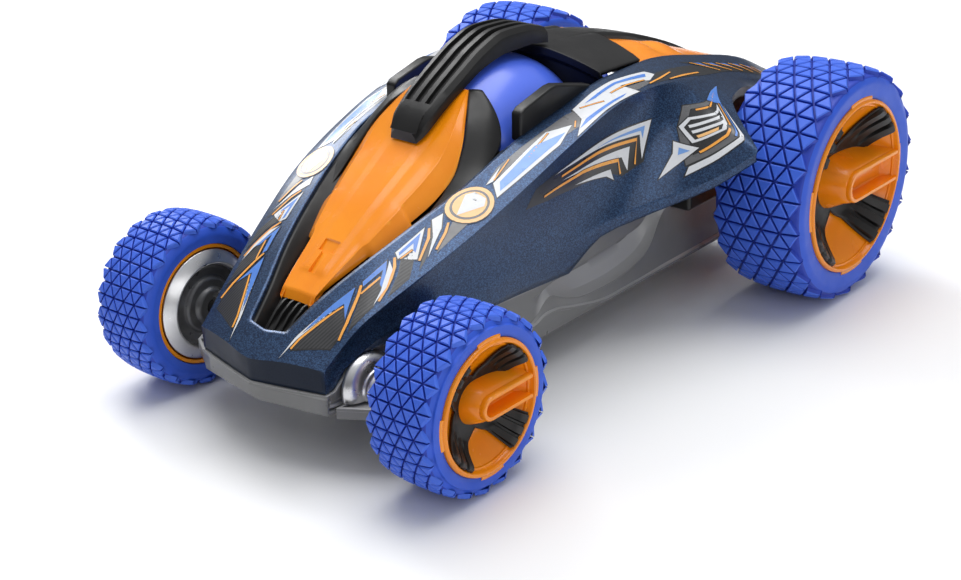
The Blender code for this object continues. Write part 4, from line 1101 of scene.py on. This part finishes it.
# ---- prints on the body ---------------------------------------------------------------------
# Each print lies on one of the fender's two bands.  Its points are (y, t): t runs from 0 at the
# cockpit edge to 1 at the crease on the top band, and from the crease to the flare on the side.
class Prints:
    LENGTH, TOP, SIDE = 1.2, 21.0, 34.0      # mm of surface per mm of y, and across each band
    LIFT = 0.07                              # each layer of ink

    def __init__(self, body):
        graph = bpy.context.evaluated_depsgraph_get()
        self.surface = BVHTree.FromObject(body, graph)
        self.inks = {}
        self.side = False                    # whether it prints on the side band

    def across(self):
        return self.SIDE if self.side else self.TOP

    def on_body(self, u, v, lift):
        """The point of the painted surface under a place of the flattened band, lifted off it."""
        y, t = u / self.LENGTH, v / self.across()
        at = min(max(y, BODY_FRONT), BODY_BACK)
        crease = smooth_at(CREASE, at)
        if self.side:
            z = mix(crease, cornered_at(FLARE_EDGE, at, (FLARE_TIP, FLARE_NOTCH)), t)[1]
            start, way = Vector((120, y, z)), Vector((-1, 0, 0))
        else:
            x = mix(smooth_at(INNER_EDGE, at), crease, t)[0]
            start, way = Vector((x, y, 140)), Vector((0, 0, -1))
        hit, normal, _, _ = self.surface.ray_cast(TO_ROW @ start, way)
        if hit is None:
            return None
        hit = TO_ROW.inverted() @ hit
        if normal.dot(way) > 0:
            normal = -normal
        return hit + normal * lift

    def add(self, ink, points, layer=2, edge=0.0):
        """Prints one outline, grown by edge mm."""
        outline = [Vector((y * self.LENGTH, t * self.across())) for y, t in points]
        if edge:
            outline = grown(outline, edge)
        bm = bmesh.new()
        bm.faces.new([bm.verts.new((p.x, p.y, 0)) for p in outline])
        bmesh.ops.triangulate(bm, faces=bm.faces)
        for _ in range(6):
            long = [e for e in bm.edges if e.calc_length() > 2.4]
            if not long:
                break
            bmesh.ops.subdivide_edges(bm, edges=long, cuts=1)
            bmesh.ops.triangulate(bm, faces=bm.faces)
        lost = []
        for v in bm.verts:
            place = self.on_body(v.co.x, v.co.y, self.LIFT * layer)
            if place is None:
                lost.append(v)
            else:
                v.co = place
        bmesh.ops.delete(bm, geom=lost, context="VERTS")
        self.inks.setdefault(ink, []).append(bm)

    def outlined(self, ink, points, layer=2):
        self.add(BLACK_INK, points, layer - 1, 0.38)
        self.add(ink, points, layer)

    def stroke(self, points, width=0.9, layer=3, ink=ORANGE_INK):
        """A line of that width, tapered a little at its ends, with a thin dark edge."""
        line = [Vector((y * self.LENGTH, t * self.across())) for y, t in points]
        left, right = [], []
        for i, p in enumerate(line):
            way = (line[min(i + 1, len(line) - 1)] - line[max(i - 1, 0)]).normalized()
            half = width / 2 * (0.75 if i in (0, len(line) - 1) else 1)
            off = Vector((-way.y, way.x)) * half
            left.append(p + off)
            right.append(p - off)
        outline = [(p.x / self.LENGTH, p.y / self.across()) for p in left + right[::-1]]
        self.add(BLACK_INK, outline, layer - 0.5, 0.25)
        self.add(ink, outline, layer)

    def finish(self):
        for ink, parts in self.inks.items():
            whole = joined(*parts)
            other = whole.copy()
            flipped(other)
            piece(ink.name, joined(whole, other), ink, weld=0.0001, outward=False, sharp=60)


def grown(outline, by):
    """The outline moved outwards by a distance, with its corners kept within reason."""
    area = sum(a.x * b.y - b.x * a.y for a, b in zip(outline, outline[1:] + outline[:1]))
    turn = 1 if area > 0 else -1
    made = []
    for i, p in enumerate(outline):
        a = (p - outline[i - 1]).normalized()
        b = (outline[(i + 1) % len(outline)] - p).normalized()
        m, n = Vector((a.y, -a.x)) * turn, Vector((b.y, -b.x)) * turn
        way = m + n
        if way.length < 0.2:
            way = a - b
        way.normalize()
        made.append(p + way * min(by / max(way.dot(n), 0.3), by * 2.6))
    return made


def ring_points(y, t, radius, count=24):
    """A circle about a point of the top band."""
    angles = [2 * math.pi * k / count for k in range(count)]
    return [(y + radius * math.cos(a) / Prints.LENGTH, t + radius * math.sin(a) / Prints.TOP) for a in angles]


def body_prints(body):
    """Arrows, carbon-look blocks, a roundel and bolts along each fender; chevrons on each side."""
    p = Prints(body)
    # the nose: a spear, then three hooks with carbon-look blocks and curved lines between
    p.outlined(CARBON, [(-22.5, 0.28), (-6.5, 0.5), (-12, 0.84), (-17.5, 0.84)])
    p.outlined(WHITE_INK, [(-26, 0.15), (-13, 0.265), (-2, 0.33), (-5.5, 0.44), (-13, 0.36)])
    p.outlined(BLUE_INK, [(-17, 0.262), (0.5, 0.325), (-9, 0.7), (-5.2, 0.45)], layer=3)
    p.stroke([(-22.5, 0.25), (-14, 0.365), (-6, 0.48)])
    p.stroke([(1.8, 0.37), (-1, 0.5), (-4.5, 0.62), (-9.5, 0.77), (-14.5, 0.87)], 1.0)
    p.outlined(CARBON, [(0.8, 0.5), (6.3, 0.53), (4.5, 0.64), (-1.5, 0.86), (-11, 0.9), (-4.6, 0.7)])
    p.stroke([(-0.4, 0.51), (3, 0.5), (6.7, 0.49)])
    p.outlined(BLUE_INK, [(1.8, 0.42), (2.9, 0.33), (12, 0.29), (3.8, 0.77), (4.8, 0.6), (9, 0.4)], layer=3)
    p.add(WHITE_INK, [(12.4, 0.33), (10.6, 0.52), (5, 0.74), (-1.4, 0.86), (3.4, 0.72),
                      (8.6, 0.5)], layer=3.6)
    p.stroke([(14, 0.34), (11.6, 0.5), (8, 0.65), (4.5, 0.76), (0.5, 0.86)], 1.0)
    p.outlined(CARBON, [(14.6, 0.47), (18.6, 0.47), (16.4, 0.62), (11, 0.86), (3.5, 0.9), (10.5, 0.67)])
    p.stroke([(14.6, 0.44), (18.8, 0.45)], 0.8)
    p.outlined(WHITE_INK, [(14.2, 0.4), (15.5, 0.26), (27, 0.22), (17.2, 0.67), (16.2, 0.6), (19.4, 0.42)])
    p.add(BLUE_INK, [(15.2, 0.37), (16, 0.31), (24.8, 0.265), (18.6, 0.54), (18.9, 0.47),
                     (20.8, 0.35)], layer=3)
    p.stroke([(27.5, 0.3), (24.6, 0.47), (17.2, 0.72)], 1.0)
    p.add(BLACK_INK, [(29, 0.24), (30.5, 0.27), (26, 0.55), (18, 0.8), (14.5, 0.88), (25, 0.5)], layer=1)
    p.outlined(WHITE_INK, [(30.4, 0.18), (34, 0.22), (29.5, 0.47), (19.5, 0.78), (25.8, 0.5)])
    p.add(GREY_INK, [(33.5, 0.5), (37.5, 0.74), (22, 0.82)], layer=1.5)
    p.stroke([(32.2, 0.47), (29, 0.6), (23, 0.76)], 1.0)
    # the roundel: a plain ring round a chevron
    p.outlined(PEACH_INK, ring_points(41, 0.46, 9.0), layer=4)
    p.add(GREY_INK, ring_points(41, 0.46, 7.4), layer=4.6)
    p.add(PEACH_INK, ring_points(41, 0.46, 6.4), layer=5.2)
    p.add(WHITE_INK, [(35.5, 0.46), (43, 0.22), (45.5, 0.32), (40.5, 0.46), (45.5, 0.6),
                      (43, 0.7)], layer=6)
    # two bolts behind it
    p.add(GREY_INK, [(50, 0.34), (57, 0.22), (92, 0.3), (98, 0.42), (90, 0.8), (66, 0.58)], layer=1)
    p.outlined(WHITE_INK, [(48, 0.74), (51.5, 0.44), (80, 0.35), (64, 0.56), (88.5, 0.64), (78, 0.82)])
    p.add(SKY_INK, [(50.5, 0.68), (53.2, 0.52), (72, 0.44), (58, 0.59), (66, 0.66), (84, 0.68),
                    (78, 0.74)], layer=3)
    p.add(WHITE_INK, [(49.5, 0.36), (58, 0.26), (52, 0.41)], layer=3)
    p.stroke([(52.5, 0.4), (62, 0.27)], 0.8)
    p.stroke([(67, 0.55), (80, 0.41)], 0.8)
    p.stroke([(88, 0.74), (91, 0.62)], 0.8)
    p.outlined(WHITE_INK, [(96, 0.31), (108, 0.25), (120, 0.25), (136.5, 0.4), (138.5, 0.6), (132, 0.76),
                           (129, 0.62), (119, 0.54), (110, 0.56), (121, 0.97), (102, 0.93), (85, 0.95),
                           (93, 0.69), (107, 0.75)])
    p.add(BLUE_INK, [(101, 0.4), (119, 0.35), (135, 0.49), (133, 0.6), (119, 0.43), (106, 0.47)], layer=3)
    p.add(BLUE_INK, [(88.5, 0.85), (94, 0.76), (116, 0.85), (113, 0.89), (95, 0.86)], layer=3)
    p.stroke([(98, 0.42), (106, 0.69)])
    p.stroke([(112, 0.6), (121, 0.61), (130, 0.69)])
    p.add(GREY_INK, [(113, 0.63), (130, 0.73), (131, 0.85), (122, 0.9), (117, 0.8)], layer=1.5)
    p.add(BLACK_INK, [(130, 0.9), (140, 0.56), (166, 0.5), (190, 0.72), (164, 0.9)], layer=1)
    p.stroke([(129.5, 0.86), (138, 0.78), (147, 0.66)], 1.0)
    p.stroke([(142, 0.88), (151, 0.84), (163, 0.79)], 1.0)
    # slanting lines to the tail
    p.add(BLACK_INK, [(160, 0.34), (222, 0.46), (222, 0.78), (184, 0.76)], layer=1)
    for k in range(6):
        y = 166 + 9 * k
        p.stroke([(y, 0.4 + 0.01 * k), (y + 7, 0.55), (y + 14, 0.72)])
        p.add(BLUE_INK, [(y + 3, 0.4 + 0.01 * k), (y + 6.5, 0.41 + 0.01 * k), (y + 10, 0.58)], layer=2.4)
    # the side: nested chevrons and a plate
    p.side = True
    p.add(BLACK_INK, [(64, 0.17), (126, 0.285), (120, 0.63), (111, 0.67), (107, 0.61), (72, 0.44),
                      (60, 0.34)], layer=1)
    p.outlined(WHITE_INK, [(74, 0.21), (125.5, 0.295), (119.5, 0.6), (120, 0.385)])
    p.add(SKY_INK, [(98, 0.29), (122.5, 0.325), (121, 0.43), (120.6, 0.355)], layer=3)
    p.stroke([(79, 0.29), (100, 0.345), (118.6, 0.415), (116.6, 0.62)], 1.0)
    p.outlined(WHITE_INK, [(80, 0.345), (115.4, 0.45), (113.4, 0.645), (111.6, 0.51)])
    p.stroke([(70, 0.36), (92, 0.42), (110, 0.52), (110.4, 0.645)], 1.0)
    p.outlined(WHITE_INK, [(88, 0.49), (106.4, 0.565), (107.4, 0.665), (104.4, 0.605)])
    p.outlined(GREY_INK, [(139.5, 0.27), (164.5, 0.44), (147, 0.79), (131.5, 0.8), (134, 0.46)])
    p.add(BLACK_INK, [(141.5, 0.33), (160, 0.455), (146, 0.73), (134.5, 0.74), (136.5, 0.48)], layer=3)
    p.stroke([(150, 0.35), (163.6, 0.45), (155, 0.62), (147, 0.77)], 1.0, layer=4, ink=BLUE_INK)
    p.stroke([(143, 0.36), (158, 0.46), (152, 0.6), (145.5, 0.72), (136.5, 0.74)], layer=4)
    p.outlined(WHITE_INK, [(134.5, 0.45), (139, 0.4), (152.5, 0.51), (146.5, 0.67), (136, 0.64)], layer=5)
    p.add(BLACK_INK, [(136, 0.475), (139.3, 0.43), (150.4, 0.522), (145.6, 0.645),
                      (137.2, 0.62)], layer=5.6)
    for t in (0.47, 0.53):
        p.add(WHITE_INK, [(137.6, t), (148.2, t + 0.055), (147.4, t + 0.08), (137.6, t + 0.03)], layer=6.2)
    p.add(PEACH_INK, [(138.2, 0.59), (145.4, 0.615), (144.6, 0.64), (138.4, 0.618)], layer=6.2)
    p.outlined(WHITE_INK, [(123, 0.82), (129.5, 0.66), (131, 0.56), (137, 0.7)], layer=5)
    p.add(SKY_INK, [(130.6, 0.69), (131.8, 0.63), (134.4, 0.695)], layer=6)
    p.outlined(WHITE_INK, [(132, 0.82), (147.5, 0.8), (155, 0.67), (149, 0.84), (130, 0.88)], layer=4)
    p.finish()


# ---- CAD nodes that stay --------------------------------------------------------------
KEPT = {STEEL: ("gyro_frame", "gyro_motor", "drive_motor", "rear_axle", "battery_door_screw", "kingpin_left",
                "kingpin_right", "rear_wheel_nut_left", "rear_wheel_nut_right", "front_wheel_screw_left",
                "front_wheel_screw_right"),
        BRASS: ("gyro_flywheel", "motor_pinion"),
        NYLON: ("axle_gear", "layshaft_gear", "servo_horn", "rear_bush_left", "rear_bush_right"),
        BLACK: ("steering_servo", "steering_tie_rod", "gearbox_housing", "power_switch",
                "steering_knuckle_left", "steering_knuckle_right"),
        GREY: ("battery_door",), BOARD: ("circuit_board",), CELL: ("battery_pack",),
        ORANGE: ("power_switch_knob",)}


def finish_kept_nodes():
    for finish, names in KEPT.items():
        for name in names:
            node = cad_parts[name]
            node.data.materials.clear()
            node.data.materials.append(finish)


# ---- stage -------------------------------------------------------------------------------
def stage():
    mesh = bpy.data.meshes.new("floor")
    mesh.from_pydata([(-4, -4, 0), (4, -4, 0), (4, 4, 0), (-4, 4, 0)], [], [(0, 1, 2, 3)])
    floor = bpy.data.objects.new("floor", mesh)
    bpy.context.scene.collection.objects.link(floor)
    pale = Finish("pale_floor", (0.9, 0.9, 0.9), 0.6)
    pale.mottled(400, (0.88, 0.88, 0.885), 0.6).grained(3, 0.02)
    mesh.materials.append(pale.made)


def lamp(name, place, target, size, power, colour=(1, 1, 1)):
    light = bpy.data.lights.new(name, "AREA")
    light.shape = "RECTANGLE"
    light.size, light.size_y = size
    light.energy = power
    light.color = colour
    made = bpy.data.objects.new(name, light)
    made.location = place
    made.rotation_euler = (Vector(target) - Vector(place)).to_track_quat("-Z", "Y").to_euler()
    bpy.context.scene.collection.objects.link(made)


def lights():
    world = bpy.data.worlds.new("studio")
    world.use_nodes = True
    nodes, wires = world.node_tree.nodes, world.node_tree.links
    way = nodes.new("ShaderNodeTexCoord")
    split = nodes.new("ShaderNodeSeparateXYZ")
    rise = nodes.new("ShaderNodeMapRange")
    rise.inputs["From Min"].default_value, rise.inputs["From Max"].default_value = 0.1, 0.95
    rise.inputs["To Min"].default_value, rise.inputs["To Max"].default_value = 0.1, 0.72
    wires.new(way.outputs["Generated"], split.inputs["Vector"])
    wires.new(split.outputs["Z"], rise.inputs["Value"])
    wires.new(rise.outputs["Result"], nodes["Background"].inputs["Strength"])
    nodes["Background"].inputs["Color"].default_value = (0.95, 0.97, 1.0, 1)
    bpy.context.scene.world = world
    bpy.context.scene.view_settings.view_transform = "Standard"
    lamp("overhead", (-0.1, 0.15, 1.1), (0, 0, 0), (1.0, 1.0), 10)
    lamp("left_rear_softbox", (-0.9, 0.35, 0.75), (0, 0, 0.05), (0.4, 0.8), 6.5)
    lamp("right_fill", (1.0, -0.3, 0.35), (0, 0, 0.04), (0.7, 0.4), 1.6)


def camera():
    azimuth, elevation, roll = (math.radians(a) for a in (40.669, 23.922, -1.684))
    forward = Vector((-math.sin(azimuth) * math.cos(elevation), math.cos(azimuth) * math.cos(elevation),
                      -math.sin(elevation)))
    right = forward.cross(Vector((0, 0, 1))).normalized()
    up = right.cross(forward)
    right, up = (right * math.cos(roll) + up * math.sin(roll), up * math.cos(roll) - right * math.sin(roll))
    lens = bpy.data.cameras.new("camera")
    lens.lens, lens.sensor_width = 64.81, 36
    lens.clip_start, lens.clip_end = 0.05, 20
    made = bpy.data.objects.new("camera", lens)
    made.matrix_world = Matrix.Translation((0.3823, -0.46595, 0.2792)) @ Matrix(
        (right, up, -forward)).transposed().to_4x4()
    bpy.context.scene.collection.objects.link(made)
    bpy.context.scene.camera = made


camera()
lights()
stage()
for name, side in SIDES:
    wheel(f"front_{name}", FRONT_WHEEL, side, 0, FRONT_R, f"wheel_front_{name}")
for name, side in SIDES:
    wheel(f"rear_{name}", REAR_WHEEL, side, REAR_Y, REAR_R, "rear_axle_set")
painted = body_shell()
arch_shade_blocks()
chassis_tub()
nose_trim()
cockpit_tray()
canopy_hood()
surrounds()
roof_spine()
rear_deck()
tail_panel()
dome()
for name, side in SIDES:
    front_corner(name, side)
finish_kept_nodes()
body_prints(painted)
